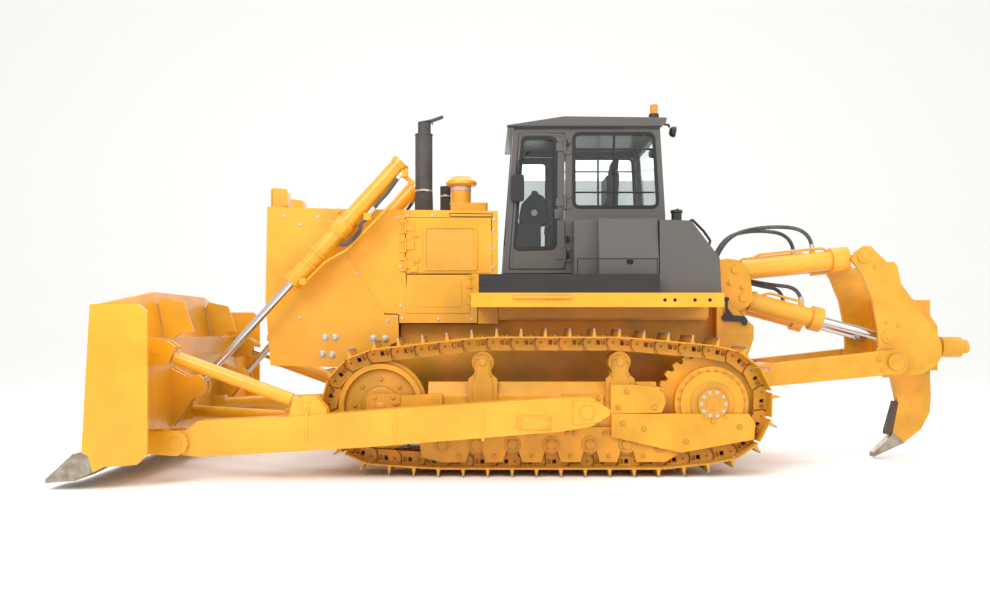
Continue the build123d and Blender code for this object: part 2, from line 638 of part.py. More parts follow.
rod = bar_along(LIFT_TOP, LIFT_EYE, 220, length, LIFT_ROD_R, LIFT_Y)
rod += bar_y(LIFT_EYE, 72.0, LIFT_Y - 38, LIFT_Y + 38)
rod += bar_y(LIFT_EYE, 34.0, LIFT_Y - 41, LIFT_Y + 41)
save_both("lift_rods", rod)

# ---------------------------------------------------------------- ripper
mount = box(-1700, -1640, -640, 640, 780, 1728)
mount += prism([(-1640, 2073), (-1728, 2090), (-1700, 1728), (-1640, 1728)], -500, 500)
upper_lug = [
    (-1650, 2090), (-1780, 2110), (-1880, 2100), (-1950, 2060), (-2025, 1910), (-2045, 1764), (-2050, 1690),
    (-2000, 1620), (-1900, 1570), (-1764, 1510), (-1650, 1500),
]
lower_lug = [(-1690, 1400), (-1960, 1120), (-2045, 980), (-2060, 880), (-2010, 800), (-1900, 790), (-1690, 800)]
for side in (-1, 1):
    for y0, y1 in ((165.0, 198.0), (PLATE_IN, PLATE_OUT)):
        mount += prism(upper_lug, side * y0, side * y1)
    for y0, y1 in ((PLATE_IN, PLATE_OUT), (583.0, 620.0)):
        mount += prism(lower_lug, side * y0, side * y1)
    mount += prism([(-1690, 1728), (-2019, 1419), (-2019, 1292), (-1960, 1120), (-1690, 1100)], side * 583, side * 620)
    mount += bar_y(LINK_FRONT, 55.0, side * PLATE_IN, side * 632)
    for at in (TILT_BASE, RAISE_BASE):
        mount += bar_y(at, 40.0, side * 165, side * (PLATE_OUT + 12))
save("ripper_mount", mount)


def ripper_barrel(base, eye, radius, cap_r, start, end, cap_len, rod_r):
    """Cylinder barrel with a base eye on its pin and a head cap."""
    out = bar_along(base, eye, start, end, radius, RIP_Y)
    out += bar_along(base, eye, end - cap_len, end, cap_r, RIP_Y)
    out += bar_y(base, 78.0, RIP_Y - 95, RIP_Y + 95)
    out += bar_along(base, eye, 0, start + 10, 70.0, RIP_Y)
    out -= bar_y(base, 40.0 + FIT, RIP_Y - 100, RIP_Y + 100)
    out -= bar_along(base, eye, start + 120, end + 5, rod_r + FIT, RIP_Y)
    return out


def ripper_rod(base, eye, radius, start):
    """Piston rod with its eye and pin."""
    out = bar_along(base, eye, start, math.dist(base, eye), radius, RIP_Y)
    out += bar_y(eye, 68.0, RIP_Y - 50, RIP_Y + 50)
    out += bar_y(eye, 38.0, RIP_Y - 110, RIP_Y + 125)
    return out


TILT_ROD_R, RAISE_ROD_R = 40.0, 45.0
tilt_len = math.dist(TILT_BASE, TILT_EYE)
raise_len = math.dist(RAISE_BASE, RAISE_EYE)
tilt_barrel = ripper_barrel(TILT_BASE, TILT_EYE, 98.0, 128.0, 110.0, tilt_len - 115, 175.0, TILT_ROD_R)
save("ripper_tilt_barrels", both(tilt_barrel))
save("ripper_tilt_rods", both(ripper_rod(TILT_BASE, TILT_EYE, TILT_ROD_R, 600.0)))
raise_barrel = ripper_barrel(RAISE_BASE, RAISE_EYE, 98.0, 128.0, 110.0, 880.0, 110.0, RAISE_ROD_R)
save("ripper_raise_barrels", both(raise_barrel))
save("ripper_raise_rods", both(ripper_rod(RAISE_BASE, RAISE_EYE, RAISE_ROD_R, 600.0)))

link_side = arc_points(LINK_FRONT, 118.0, -80, 100, 8)[::-1]
link_side += arc_points(LINK_REAR, 128.0, 276, 96, 10)
link = prism(link_side, LINK_IN, LINK_OUT)
link -= bar_y(LINK_FRONT, 55.0 + FIT, LINK_IN - 1, LINK_OUT + 1)
link -= bar_y(LINK_REAR, 60.0 + FIT, LINK_IN - 1, LINK_OUT + 1)
link = both(link)
tube_at = along(LINK_FRONT, LINK_REAR, 420)
link += bar_y(tube_at, 85.0, -LINK_IN - 20, LINK_IN + 20)
save("ripper_link", link)

knuckle = bar_y(LINK_REAR, 60.0, PLATE_IN - 40, LINK_OUT + 8)
knuckle += bar_y(LINK_REAR, 85.0, LINK_OUT + 8, LINK_OUT + 24)
save("ripper_pins", both(knuckle))

plate_side = [
    (-3060, 2100), (-3092, 2177), (-3183, 2241), (-3256, 2241), (-3420, 2077), (-3494, 2077), (-3530, 2040),
    (-3567, 1858), (-3950, 1328), (-3985, 1230), (-3985, 1110), (-3930, 1020), (-3786, 926), (-3539, 900),
    (-3400, 890), (-3320, 970), (-3300, 1080), (-3340, 1200), (-3330, 1400), (-3270, 1700), (-3170, 1950),
]
frame_plate = prism(plate_side, PLATE_IN, PLATE_OUT)
frame_plate -= bar_y(LINK_REAR, 60.0 + FIT, PLATE_IN - 1, PLATE_OUT + 1)
frame_plate += bar_y(TILT_EYE, 70.0, PLATE_OUT, PLATE_OUT + 8)
frame_plate += bar_y(RAISE_EYE, 70.0, PLATE_OUT, PLATE_OUT + 8)
ripper_frame = both(frame_plate)
web = [(-3640, 960), (-3900, 1010), (-3960, 1200), (-3930, 1330), (-3640, 1740)]
ripper_frame += prism(web, -PLATE_IN, PLATE_IN)
pocket_side = [(-3620, 950), (-4110, 950), (-4110, 1420), (-3960, 1640), (-3700, 1800), (-3620, 1800)]
ripper_frame += prism(pocket_side, -120, 120)
ripper_frame -= box(-4068, -3652, -SHANK_HALF, SHANK_HALF, 900, 1900)

puller = bar((-4110, 0, 1196), (-4185, 0, 1196), 60.0)
puller += bar((-4185, 0, 1196), (-4400, 0, 1196), 110.0)
puller += bar((-4400, 0, 1196), (-4475, 0, 1205), 75.0)
ripper_frame += puller
save("ripper_frame", ripper_frame)

shank_side = [
    (-3656, 1700), (-4064, 1700), (-4064, 903), (-4074, 673), (-4064, 500), (-3970, 320), (-3790, 175),
    (-3660, 285), (-3722, 600), (-3656, 903),
]
shank = prism(shank_side, -SHANK_HALF, SHANK_HALF)
save("ripper_shank", shank)
point = prism([(-3790, 174), (-3456, 24), (-3462, 70), (-3640, 250), (-3659, 284)], -62, 62)
save("shank_point", point)
guard_side = [(-3721, 602), (-3659, 287), (-3598, 262), (-3600, 300), (-3690, 620)]
save("shank_guard", prism(guard_side, -58, 58))

# ---------------------------------------------------------------- write
for name, shape in NODES.items():
    solids = shape.solids()
    whole = solids[0] if len(solids) == 1 else Compound(children=list(solids))
    whole.label = name
    export_step(whole, os.path.join("parts", name + ".step"))
print(len(NODES), "nodes written")
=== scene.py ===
"""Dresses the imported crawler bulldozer: finishes, fasteners, hoses and small fittings.

The row frame has +X to the blade, +Y to the machine's left, +Z up and the ground at Z = 0. Pieces are drawn in
millimetres, as on a shop drawing, and made in metres.
"""

from __future__ import annotations

import json
import logging
import math
from collections.abc import Sequence
from dataclasses import dataclass
from enum import Enum

import bmesh
import bpy
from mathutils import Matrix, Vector
from mathutils.geometry import tessellate_polygon

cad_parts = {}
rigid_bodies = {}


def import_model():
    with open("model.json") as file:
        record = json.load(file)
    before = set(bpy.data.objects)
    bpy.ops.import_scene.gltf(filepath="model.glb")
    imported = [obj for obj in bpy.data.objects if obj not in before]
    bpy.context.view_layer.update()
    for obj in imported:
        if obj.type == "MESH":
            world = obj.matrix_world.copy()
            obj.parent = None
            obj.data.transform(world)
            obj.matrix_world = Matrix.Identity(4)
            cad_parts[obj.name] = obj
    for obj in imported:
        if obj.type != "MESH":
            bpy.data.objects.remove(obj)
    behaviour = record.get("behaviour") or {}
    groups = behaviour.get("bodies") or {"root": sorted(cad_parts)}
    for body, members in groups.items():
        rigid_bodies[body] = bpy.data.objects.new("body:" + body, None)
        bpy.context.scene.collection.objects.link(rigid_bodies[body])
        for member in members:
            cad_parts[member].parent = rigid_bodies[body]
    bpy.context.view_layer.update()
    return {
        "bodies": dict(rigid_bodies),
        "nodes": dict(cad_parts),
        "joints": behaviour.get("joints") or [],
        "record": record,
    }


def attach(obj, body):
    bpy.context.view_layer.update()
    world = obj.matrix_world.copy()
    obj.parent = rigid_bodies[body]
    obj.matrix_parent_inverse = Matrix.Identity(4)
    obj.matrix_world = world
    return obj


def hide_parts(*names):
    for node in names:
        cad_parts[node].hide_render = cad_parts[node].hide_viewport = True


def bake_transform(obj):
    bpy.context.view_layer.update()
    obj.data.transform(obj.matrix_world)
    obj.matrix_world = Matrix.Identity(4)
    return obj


LOG = logging.getLogger("bulldozer")
Point = tuple[float, float, float]
Flat = tuple[float, float]
TRACTOR = "tractor"
BLADE = "blade_frame"
SMOOTH_ANGLE = math.radians(35)
MM = 0.001


def linear(hex_colour: str) -> tuple[float, float, float, float]:
    """Turns an sRGB hex colour to linear RGBA.

    Args:
        hex_colour: six hex digits, with or without a leading hash.

    Returns:
        The linear colour with full alpha.
    """
    digits = hex_colour.lstrip("#")
    values = [int(digits[i:i + 2], 16) / 255 for i in (0, 2, 4)]
    out = [v / 12.92 if v <= 0.04045 else ((v + 0.055) / 1.055) ** 2.4 for v in values]
    return (out[0], out[1], out[2], 1.0)


def add_node(tree: bpy.types.NodeTree, kind: str, settings: dict | None = None,
             links: dict | None = None) -> bpy.types.Node:
    """Adds one shader node.

    Args:
        tree: the material's node tree.
        kind: the node type's name after "ShaderNode".
        settings: attribute names, or socket names or numbers, with their values.
        links: input socket names or numbers, with the output socket that feeds each.

    Returns:
        The new node.
    """
    node = tree.nodes.new("ShaderNode" + kind)
    for key, value in (settings or {}).items():
        if isinstance(key, str) and hasattr(node, key) and key not in node.inputs:
            setattr(node, key, value)
        else:
            node.inputs[key].default_value = value
    for key, source in (links or {}).items():
        tree.links.new(source, node.inputs[key])
    return node


class Surface(Enum):
    """How a surface was made, which sets its bump."""

    SPRAYED = "sprayed"
    CAST = "cast"
    BRUSHED = "brushed"
    MOULDED = "moulded"
    POLISHED = "polished"
    PERFORATED = "perforated"


@dataclass(frozen=True)
class Finish:
    """One real material and the way its surface was made.

    Sizes are in millimetres; colours are sRGB hex.
    """

    name: str
    colour: str
    surface: Surface
    roughness: float
    metallic: float = 0.0
    grain_mm: float = 6.0
    relief_mm: float = 0.1
    tint: str = ""
    tint_mm: float = 700.0
    dust: str = ""
    dust_share: float = 0.0
    wear: str = ""
    wear_mm: float = 5.0
    coat: float = 0.0
    clear: float = 0.0
    glow: float = 0.0

    def material(self) -> bpy.types.Material:
        """Gives the Blender material, made the first time it is asked for."""
        found = bpy.data.materials.get(self.name)
        return found or self._make()

    def _make(self) -> bpy.types.Material:
        """Builds the node tree: slow tint, dust, edge wear, then relief.

        Returns:
            The finished material.
        """
        made = bpy.data.materials.new(self.name)
        made.use_nodes = True
        made.diffuse_color = linear(self.colour)
        tree = made.node_tree
        tree.nodes.clear()
        place = add_node(tree, "TexCoord").outputs["Object"]
        shader = add_node(tree, "BsdfPrincipled", {
            "Base Color": linear(self.colour), "Roughness": self.roughness, "Metallic": self.metallic,
            "Coat Weight": self.coat, "Coat Roughness": 0.12, "Transmission Weight": self.clear,
        })
        if self.glow:
            shader.inputs["Emission Color"].default_value = linear(self.colour)
            shader.inputs["Emission Strength"].default_value = self.glow
        colour = self._tinted(tree, place)
        colour = self._dusted(tree, place, colour)
        colour = self._worn(tree, place, colour, shader)
        if colour is not None:
            tree.links.new(colour, shader.inputs["Base Color"])
        if not (self.wear or self.clear):
            self._vary_roughness(tree, place, shader)
        tree.links.new(self._relief(tree, place), shader.inputs["Normal"])
        out = add_node(tree, "OutputMaterial", {}, {"Surface": shader.outputs["BSDF"]})
        out.location = (400, 0)
        return made

    def _noise(self, tree: bpy.types.NodeTree, place: bpy.types.NodeSocket, size_mm: float,
               detail: float = 3.0) -> bpy.types.NodeSocket:
        """Noise whose blotches are about size_mm across."""
        made = add_node(tree, "TexNoise", {"Scale": 1000 / size_mm, "Detail": detail}, {"Vector": place})
        return made.outputs["Fac"]

    def _ramp(self, tree: bpy.types.NodeTree, source: bpy.types.NodeSocket, low: float,
              high: float) -> bpy.types.NodeSocket:
        """Stretches a value from low..high to 0..1."""
        made = add_node(tree, "MapRange", {"From Min": low, "From Max": high}, {"Value": source})
        return made.outputs["Result"]

    def _tinted(self, tree: bpy.types.NodeTree, place: bpy.types.NodeSocket) -> bpy.types.NodeSocket | None:
        """Mixes in the second colour in slow blotches, as a hand-sprayed coat has.

        Args:
            tree: the material's node tree.
            place: the object coordinates.

        Returns:
            The colour so far, or None if there is no tint.
        """
        if not self.tint:
            return None
        share = self._ramp(tree, self._noise(tree, place, self.tint_mm, 4.0), 0.35, 0.7)
        mix = add_node(tree, "Mix", {"data_type": "RGBA"}, {0: share})
        mix.inputs[6].default_value = linear(self.colour)
        mix.inputs[7].default_value = linear(self.tint)
        return mix.outputs[2]

    def _dusted(self, tree: bpy.types.NodeTree, place: bpy.types.NodeSocket,
                colour: bpy.types.NodeSocket | None) -> bpy.types.NodeSocket | None:
        """Lays thin dust on faces that look up.

        Args:
            tree: the material's node tree.
            place: the object coordinates.
            colour: the colour so far.

        Returns:
            The colour so far.
        """
        if not self.dust:
            return colour
        normal = add_node(tree, "NewGeometry").outputs["Normal"]
        up = add_node(tree, "SeparateXYZ", {}, {"Vector": normal}).outputs["Z"]
        facing = self._ramp(tree, up, 0.1, 1.0)
        patch = self._ramp(tree, self._noise(tree, place, 160.0, 6.0), 0.3, 0.75)
        both = add_node(tree, "Math", {"operation": "MULTIPLY"}, {0: facing, 1: patch})
        share = add_node(tree, "Math", {"operation": "MULTIPLY", 1: self.dust_share}, {0: both.outputs[0]})
        mix = add_node(tree, "Mix", {"data_type": "RGBA"}, {0: share.outputs[0]})
        if colour is None:
            mix.inputs[6].default_value = linear(self.colour)
        else:
            tree.links.new(colour, mix.inputs[6])
        mix.inputs[7].default_value = linear(self.dust)
        return mix.outputs[2]

    def _worn(self, tree: bpy.types.NodeTree, place: bpy.types.NodeSocket, colour: bpy.types.NodeSocket | None,
              shader: bpy.types.Node) -> bpy.types.NodeSocket | None:
        """Rubs the coat through along edges, down to the metal.

        Args:
            tree: the material's node tree.
            place: the object coordinates.
            colour: the colour so far.
            shader: the shader whose roughness the rubbed edges change.

        Returns:
            The colour so far.
        """
        if not self.wear:
            return colour
        round_edge = add_node(tree, "Bevel", {"samples": 4, "Radius": self.wear_mm / 1000})
        true = add_node(tree, "NewGeometry").outputs["True Normal"]
        along = add_node(tree, "VectorMath", {"operation": "DOT_PRODUCT"}, {0: round_edge.outputs[0], 1: true})
        edge = self._ramp(tree, along.outputs["Value"], 0.985, 0.86)
        chips = self._ramp(tree, self._noise(tree, place, 22.0, 5.0), 0.5, 0.62)
        both = add_node(tree, "Math", {"operation": "MULTIPLY"}, {0: edge, 1: chips})
        mix = add_node(tree, "Mix", {"data_type": "RGBA"}, {0: both.outputs[0]})
        if colour is None:
            mix.inputs[6].default_value = linear(self.colour)
        else:
            tree.links.new(colour, mix.inputs[6])
        mix.inputs[7].default_value = linear(self.wear)
        rough = add_node(tree, "MapRange", {"To Min": self.roughness, "To Max": 0.42}, {"Value": both.outputs[0]})
        tree.links.new(rough.outputs["Result"], shader.inputs["Roughness"])
        return mix.outputs[2]

    def _vary_roughness(self, tree: bpy.types.NodeTree, place: bpy.types.NodeSocket,
                        shader: bpy.types.Node) -> None:
        """Lets handling and weather vary the gloss a little.

        Args:
            tree: the material's nodes.
            place: where the point lies.
            shader: the shader whose roughness varies.
        """
        noise = self._noise(tree, place, 240.0, 4.0)
        spread = {"To Min": self.roughness * 0.85, "To Max": min(1.0, self.roughness * 1.2)}
        made = add_node(tree, "MapRange", spread, {"Value": noise})
        tree.links.new(made.outputs["Result"], shader.inputs["Roughness"])

    def _relief(self, tree: bpy.types.NodeTree, place: bpy.types.NodeSocket) -> bpy.types.NodeSocket:
        """Gives the normal: rounded edges under the surface's own grain.

        Args:
            tree: the material's node tree.
            place: the object coordinates.

        Returns:
            The normal socket for the shader.
        """
        stretch = (1.0, 1.0, 1.0)
        if self.surface is Surface.BRUSHED:
            stretch = (1.0, 14.0, 14.0)
        moved = add_node(tree, "Mapping", {"Scale": stretch}, {"Vector": place}).outputs["Vector"]
        if self.surface is Surface.PERFORATED:
            cells = add_node(tree, "TexVoronoi", {"Scale": 1000 / self.grain_mm, "Randomness": 0.0},
                {"Vector": moved})
            height = self._ramp(tree, cells.outputs["Distance"], 0.25, 0.45)
        else:
            height = self._noise(tree, moved, self.grain_mm, 2.0)
        soft = add_node(tree, "Bevel", {"samples": 4, "Radius": 0.004}).outputs[0]
        strength = 0.25 if self.surface in (Surface.SPRAYED, Surface.POLISHED) else 0.6
        bump = add_node(tree, "Bump", {"Strength": strength, "Distance": self.relief_mm / 1000},
                        {"Height": height, "Normal": soft})
        return bump.outputs["Normal"]


# Two-pack machine enamel, sprayed over plate: glossy, with a slow tint from coat to coat and pale dust on top.
YELLOW_ENAMEL = Finish("yellow_machine_enamel_sprayed", "#CE9511", Surface.SPRAYED, 0.36, grain_mm=7.0,
    relief_mm=0.08,
                       tint="#F8A821", dust="#E8C68A", dust_share=0.25, coat=0.25)
# The same enamel on parts near the ground, mixed darker than the body's as painted shade on the low running gear,
# with real dust and edges rubbed through.
TRACK_ENAMEL_PAINTED_SHADE = Finish("yellow_enamel_on_track_with_painted_shade", "#BD8812", Surface.CAST, 0.5, grain_mm=9.0, relief_mm=0.35,
                      tint="#D98F22", tint_mm=260.0, dust="#B59468", dust_share=0.5, wear="#7A6A55", wear_mm=6.0)
# Enamel over a sand casting, so the light breaks up on its grain.
CAST_ENAMEL = Finish("yellow_enamel_on_casting", "#C78F11", Surface.CAST, 0.42, grain_mm=8.0, relief_mm=0.3,
                     tint="#EFA022", tint_mm=300.0, dust="#D8B57C", dust_share=0.3)
# Semi-gloss charcoal enamel on the cab and boxes, warm and a little dusty.
CHARCOAL_ENAMEL = Finish("charcoal_cab_enamel_sprayed", "#55524D", Surface.SPRAYED, 0.34, grain_mm=6.0,
    relief_mm=0.06,
                         tint="#565150", tint_mm=900.0, dust="#8A8178", dust_share=0.35, coat=0.2)
# Black gloss enamel of the side strip and window rubbers' neighbours.
BLACK_ENAMEL = Finish("black_trim_enamel_sprayed", "#1D1B1A", Surface.SPRAYED, 0.38, grain_mm=6.0, relief_mm=0.05,
                      tint="#262322", dust="#6D665F", dust_share=0.2)
# Heat-proof silicate paint on the stack: dead matt and chalky.
STACK_PAINT = Finish("heatproof_stack_paint", "#4A4745", Surface.CAST, 0.62, grain_mm=5.0, relief_mm=0.12,
                     tint="#3C3937", tint_mm=180.0)
# Hardened steel rubbed bright by soil, with brown between the scratches.
SOIL_STEEL = Finish("soil_polished_steel", "#A79E90", Surface.BRUSHED, 0.42, metallic=0.75, grain_mm=10.0,
    relief_mm=0.2,
                    tint="#7F7262", tint_mm=90.0)
# Bare grouser edges: dull, scratched and stained.
GROUSER_STEEL = Finish("worn_grouser_steel", "#B5A79A", Surface.CAST, 0.55, metallic=0.55, grain_mm=7.0,
    relief_mm=0.3,
                       tint="#8C8071", tint_mm=60.0)
# Cast tooth guard, left dark from the foundry.
FOUNDRY_STEEL = Finish("dark_foundry_steel", "#4C3D33", Surface.CAST, 0.6, metallic=0.3, grain_mm=8.0, relief_mm=0.4,
                       tint="#5E4B3D", tint_mm=80.0)
# Ground and hard-chromed piston rod.
HARD_CHROME = Finish("hard_chrome_ground", "#C9CACB", Surface.POLISHED, 0.16, metallic=1.0, grain_mm=12.0,
    relief_mm=0.01)
# Zinc-plated fittings and bolts.
ZINC_PLATE = Finish("zinc_plated_steel", "#C9C4B8", Surface.POLISHED, 0.34, metallic=0.9, grain_mm=6.0,
    relief_mm=0.04)
# Extruded rubber hose cover, matt with fine ribs.
HOSE_RUBBER = Finish("extruded_hose_rubber", "#3B3B3C", Surface.MOULDED, 0.58, grain_mm=5.0, relief_mm=0.15,
                     tint="#56575A", tint_mm=160.0)
SEAL_RUBBER = Finish("window_seal_rubber", "#141414", Surface.MOULDED, 0.6, grain_mm=4.0, relief_mm=0.06)
# Toughened cab glass, faintly grey.
CAB_GLASS = Finish("toughened_cab_glass", "#DDE3E2", Surface.POLISHED, 0.02, clear=1.0, grain_mm=300.0, relief_mm=0.0)
LAMP_GLASS = Finish("pressed_lamp_glass", "#E8E8E2", Surface.POLISHED, 0.12, clear=0.6, grain_mm=20.0, relief_mm=0.2)
AMBER_LENS = Finish("moulded_amber_lens", "#F08A12", Surface.MOULDED, 0.16, grain_mm=18.0, relief_mm=0.3, clear=0.25,
                    glow=0.12)
VINYL = Finish("moulded_seat_vinyl", "#1B1A1A", Surface.MOULDED, 0.55, grain_mm=5.0, relief_mm=0.3)
CAB_PLASTIC = Finish("moulded_cab_plastic", "#3A3836", Surface.MOULDED, 0.5, grain_mm=4.0, relief_mm=0.15)
# Punched sheet before the radiator of the engine side, enamelled, with a brown tone mixed into both its colours as
# painted shade for the dark seen through its holes.
PUNCHED_SHEET_HOLE_SHADE = Finish("punched_sheet_with_painted_hole_shade", "#D99A2E", Surface.PERFORATED, 0.5, grain_mm=14.0, relief_mm=1.2,
                       tint="#B97F28", tint_mm=500.0)
RADIATOR_FIN = Finish("radiator_fins_blackened", "#1C1A18", Surface.BRUSHED, 0.6, metallic=0.3, grain_mm=8.0)
ENGINE_ENAMEL = Finish("engine_enamel_sprayed", "#C98F24", Surface.CAST, 0.5, grain_mm=9.0, relief_mm=0.3)
# Bowl: thin moulded plastic; its pale pinkish colour is a painted glow, as the bowl is no lamp.
BOWL_PLASTIC_PAINTED_GLOW = Finish("moulded_bowl_plastic_painted_glow", "#E3C3B4", Surface.MOULDED, 0.2, grain_mm=12.0, relief_mm=0.05,
    clear=0.3)
# Painted shade: a near black strip with no shine at all, laid where a shut line, slot, hole or louvre gap between
# panels falls in shadow.
PAINTED_GAP_SHADE = Finish("shadow_gap_between_panels", "#151210", Surface.MOULDED, 0.9, grain_mm=4.0, relief_mm=0.02)
FLOOR_PAPER = Finish("pale_studio_floor", "#FBFBFA", Surface.MOULDED, 0.85, grain_mm=30.0, relief_mm=0.02)

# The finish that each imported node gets.
NODE_FINISH: dict[Finish, tuple[str, ...]] = {
    YELLOW_ENAMEL: ("radiator_guard", "radiator_door", "hood", "engine_door_left", "engine_door_right",
        "fender_decks",
                    "blade", "push_arms", "brace_strut", "diagonal_braces", "lift_barrels", "blade_tilt_barrel",
                    "ripper_tilt_barrels", "ripper_raise_barrels", "lamps", "air_intakes"),
    CAST_ENAMEL: ("main_frame", "lift_yokes", "ripper_mount", "ripper_link", "ripper_frame", "ripper_pins",
                  "ripper_shank", "track_frames", "idlers", "sprockets"),
    # The running gear's enamel is darkened as painted shade.
    TRACK_ENAMEL_PAINTED_SHADE: ("rollers", "track_loop_left", "track_loop_right"),
    CHARCOAL_ENAMEL: ("side_boxes", "fuel_tank", "cab_shell", "cab_roof", "cab_door_left", "cab_door_right"),
    BLACK_ENAMEL: ("side_strips",),
    STACK_PAINT: ("exhaust_stack",),
    SOIL_STEEL: ("cutting_edges", "shank_point"),
    FOUNDRY_STEEL: ("shank_guard",),
    HARD_CHROME: ("lift_rods", "blade_tilt_rod", "ripper_tilt_rods", "ripper_raise_rods"),
    CAB_GLASS: ("cab_glass", "cab_door_glass_left", "cab_door_glass_right"),
    CAB_PLASTIC: ("cab_interior",),
    RADIATOR_FIN: ("radiator_core",),
    ENGINE_ENAMEL: ("engine_block",),
    AMBER_LENS: ("beacon",),
    HOSE_RUBBER: (),
}


class Across(Enum):
    """The direction that a flat outline is carried along."""

    X = "x"
    Y = "y"
    Z = "z"


class Draft:
    """Points in millimetres, and faces, gathered before one mesh object is made of them."""

    def __init__(self) -> None:
        """Starts empty."""
        self.points: list[Vector] = []
        self.faces: list[tuple[int, ...]] = []

    def add(self, points: list[Vector], faces: list[tuple[int, ...]]) -> None:
        """Takes in more points and faces.

        Args:
            points: the points to add.
            faces: the faces, which number those points from zero.
        """
        base = len(self.points)
        self.points += points
        self.faces += [tuple(base + i for i in face) for face in faces]

    def box(self, low: Point, high: Point) -> None:
        """Draws a box between two corners.

        Args:
            low: the corner with the lowest values.
            high: the corner with the highest values.
        """
        points = [Vector((x, y, z)) for x in (low[0], high[0]) for y in (low[1], high[1]) for z in (low[2], high[2])]
        faces = [(0, 1, 3, 2), (4, 6, 7, 5), (0, 4, 5, 1), (2, 3, 7, 6), (0, 2, 6, 4), (1, 5, 7, 3)]
        self.add(points, faces)

    def prism(self, outline: Sequence[Flat], start: float, end: float, across: Across = Across.Y,
              holes: Sequence[Sequence[Flat]] = ()) -> None:
        """Carries a flat outline from one plane to another, with holes left through it.

        Args:
            outline: corners in order: X, Z across Y; Y, Z across X; X, Y across Z.
            start: the first plane.
            end: the second plane.
            across: the direction between the planes.
            holes: outlines left open.
        """
        loops = [list(outline), *[list(hole) for hole in holes]]
        flat = [corner for loop in loops for corner in loop]
        count = len(flat)
        points = [_lay(u, v, plane, across) for plane in (start, end) for u, v in flat]
        faces: list[tuple[int, ...]] = []
        if holes:
            tris = tessellate_polygon([[Vector((u, v, 0)) for u, v in loop] for loop in loops])
            faces += [tuple(tri) for tri in tris]
            faces += [tuple(i + count for i in reversed(tri)) for tri in tris]
        else:
            faces += [tuple(range(count)), tuple(range(2 * count - 1, count - 1, -1))]
        base = 0
        for loop in loops:
            size = len(loop)
            for i in range(size):
                a, b = base + i, base + (i + 1) % size
                faces.append((a, a + count, b + count, b))
            base += size
        self.add(points, faces)

    def ribbon(self, path: Sequence[Flat], width: float, start: float, end: float, across: Across = Across.Y,
               bend: float = 0.0, closed: bool = False) -> None:
        """Lays a flat strip of even width along a path, such as a seal, a seam or a rail.

        Args:
            path: the strip's middle line.
            width: the strip's width.
            start: the plane of its back.
            end: the plane of its face.
            across: the direction between the planes.
            bend: the radius at the path's corners.
            closed: whether the path ends where it starts.
        """
        line = [Vector((u, v, 0)) for u, v in path]
        line = rounded(line, bend, 5, closed)
        left: list[Flat] = []
        right: list[Flat] = []
        count = len(line)
        for i, spot in enumerate(line):
            before = line[i - 1] if closed or i else spot
            after = line[(i + 1) % count] if closed or i < count - 1 else spot
            way_in, way_out = (spot - before).normalized(), (after - spot).normalized()
            way = (way_in + way_out).normalized()
            cosine = max(0.4, way.dot(way_out if way_out.length else way_in))
            off = Vector((-way.y, way.x, 0)) * (width / 2 / cosine)
            left.append((spot.x + off.x, spot.y + off.y))
            right.append((spot.x - off.x, spot.y - off.y))
        points = [_lay(u, v, plane, across) for plane in (start, end) for u, v in left + right]
        faces: list[tuple[int, ...]] = []
        steps = count if closed else count - 1
        for i in range(steps):
            j = (i + 1) % count
            a, b, c, d = i, j, count + j, count + i
            top = 2 * count
            faces += [(a, b, c, d), (a + top, d + top, c + top, b + top)]
            faces += [(a, a + top, b + top, b), (d, c, c + top, d + top)]
        if not closed:
            last = count - 1
            faces += [(0, count, 3 * count, 2 * count), (last, last + 2 * count, last + 3 * count, last + count)]
        self.add(points, faces)

    def turned(self, start: Point, axis: Point, rings: Sequence[Flat], sides: int = 24) -> None:
        """Draws a turned form: rings of (distance along the axis, radius).

        Args:
            start: the point that distances are counted from.
            axis: the direction of the axis.
            rings: each ring's distance and radius, in order; both ends are closed.
            sides: the number of sides round.
        """
        way = Vector(axis).normalized()
        first = way.orthogonal().normalized()
        second = way.cross(first)
        points: list[Vector] = []
        for along, radius in rings:
            centre = Vector(start) + way * along
            for i in range(sides):
                a = 2 * math.pi * i / sides
                points.append(centre + (first * math.cos(a) + second * math.sin(a)) * max(radius, 0.01))
        faces: list[tuple[int, ...]] = [tuple(range(sides - 1, -1, -1))]
        for k in range(len(rings) - 1):
            for i in range(sides):
                j = (i + 1) % sides
                faces.append((k * sides + i, k * sides + j, (k + 1) * sides + j, (k + 1) * sides + i))
        last = (len(rings) - 1) * sides
        faces.append(tuple(range(last, last + sides)))
        self.add(points, faces)

    def rod(self, start: Point, end: Point, radius: float, sides: int = 20) -> None:
        """Draws a round bar between two points."""
        way = Vector(end) - Vector(start)
        self.turned(start, tuple(way), [(0, radius), (way.length, radius)], sides)

    def bolt(self, at: Point, axis: Point, size: float, height: float | None = None) -> None:
        """Draws a hexagon bolt head on its washer.

        Args:
            at: the middle of the head's seat.
            axis: the way that the head looks.
            size: the head's width across its corners.
            height: the head's height; two thirds of half its width if left out.
        """
        tall = height or size * 0.36
        self.turned(at, axis, [(0, size * 0.66), (size * 0.1, size * 0.66)], 14)
        low, high = size * 0.1, size * 0.1 + tall
        self.turned(at, axis, [(low, size * 0.5), (high - tall * 0.15, size * 0.5), (high, size * 0.43)], 6)

    def bolt_ring(self, centre: Point, axis: Point, radius: float, count: int, size: float,
        turn: float = 0.0) -> None:
        """Draws bolts on a circle round an axis.

        Args:
            centre: the circle's middle.
            axis: the way that the heads look.
            radius: the circle's radius.
            count: how many bolts.
            size: each head's width.
            turn: the first bolt's angle in degrees.
        """
        way = Vector(axis).normalized()
        first = Vector((0, 0, 1)) if abs(way.z) < 0.9 else Vector((1, 0, 0))
        first = (first - way * first.dot(way)).normalized()
        second = way.cross(first)
        for i in range(count):
            a = math.radians(turn) + 2 * math.pi * i / count
            spot = Vector(centre) + (first * math.cos(a) + second * math.sin(a)) * radius
            self.bolt(tuple(spot), axis, size)

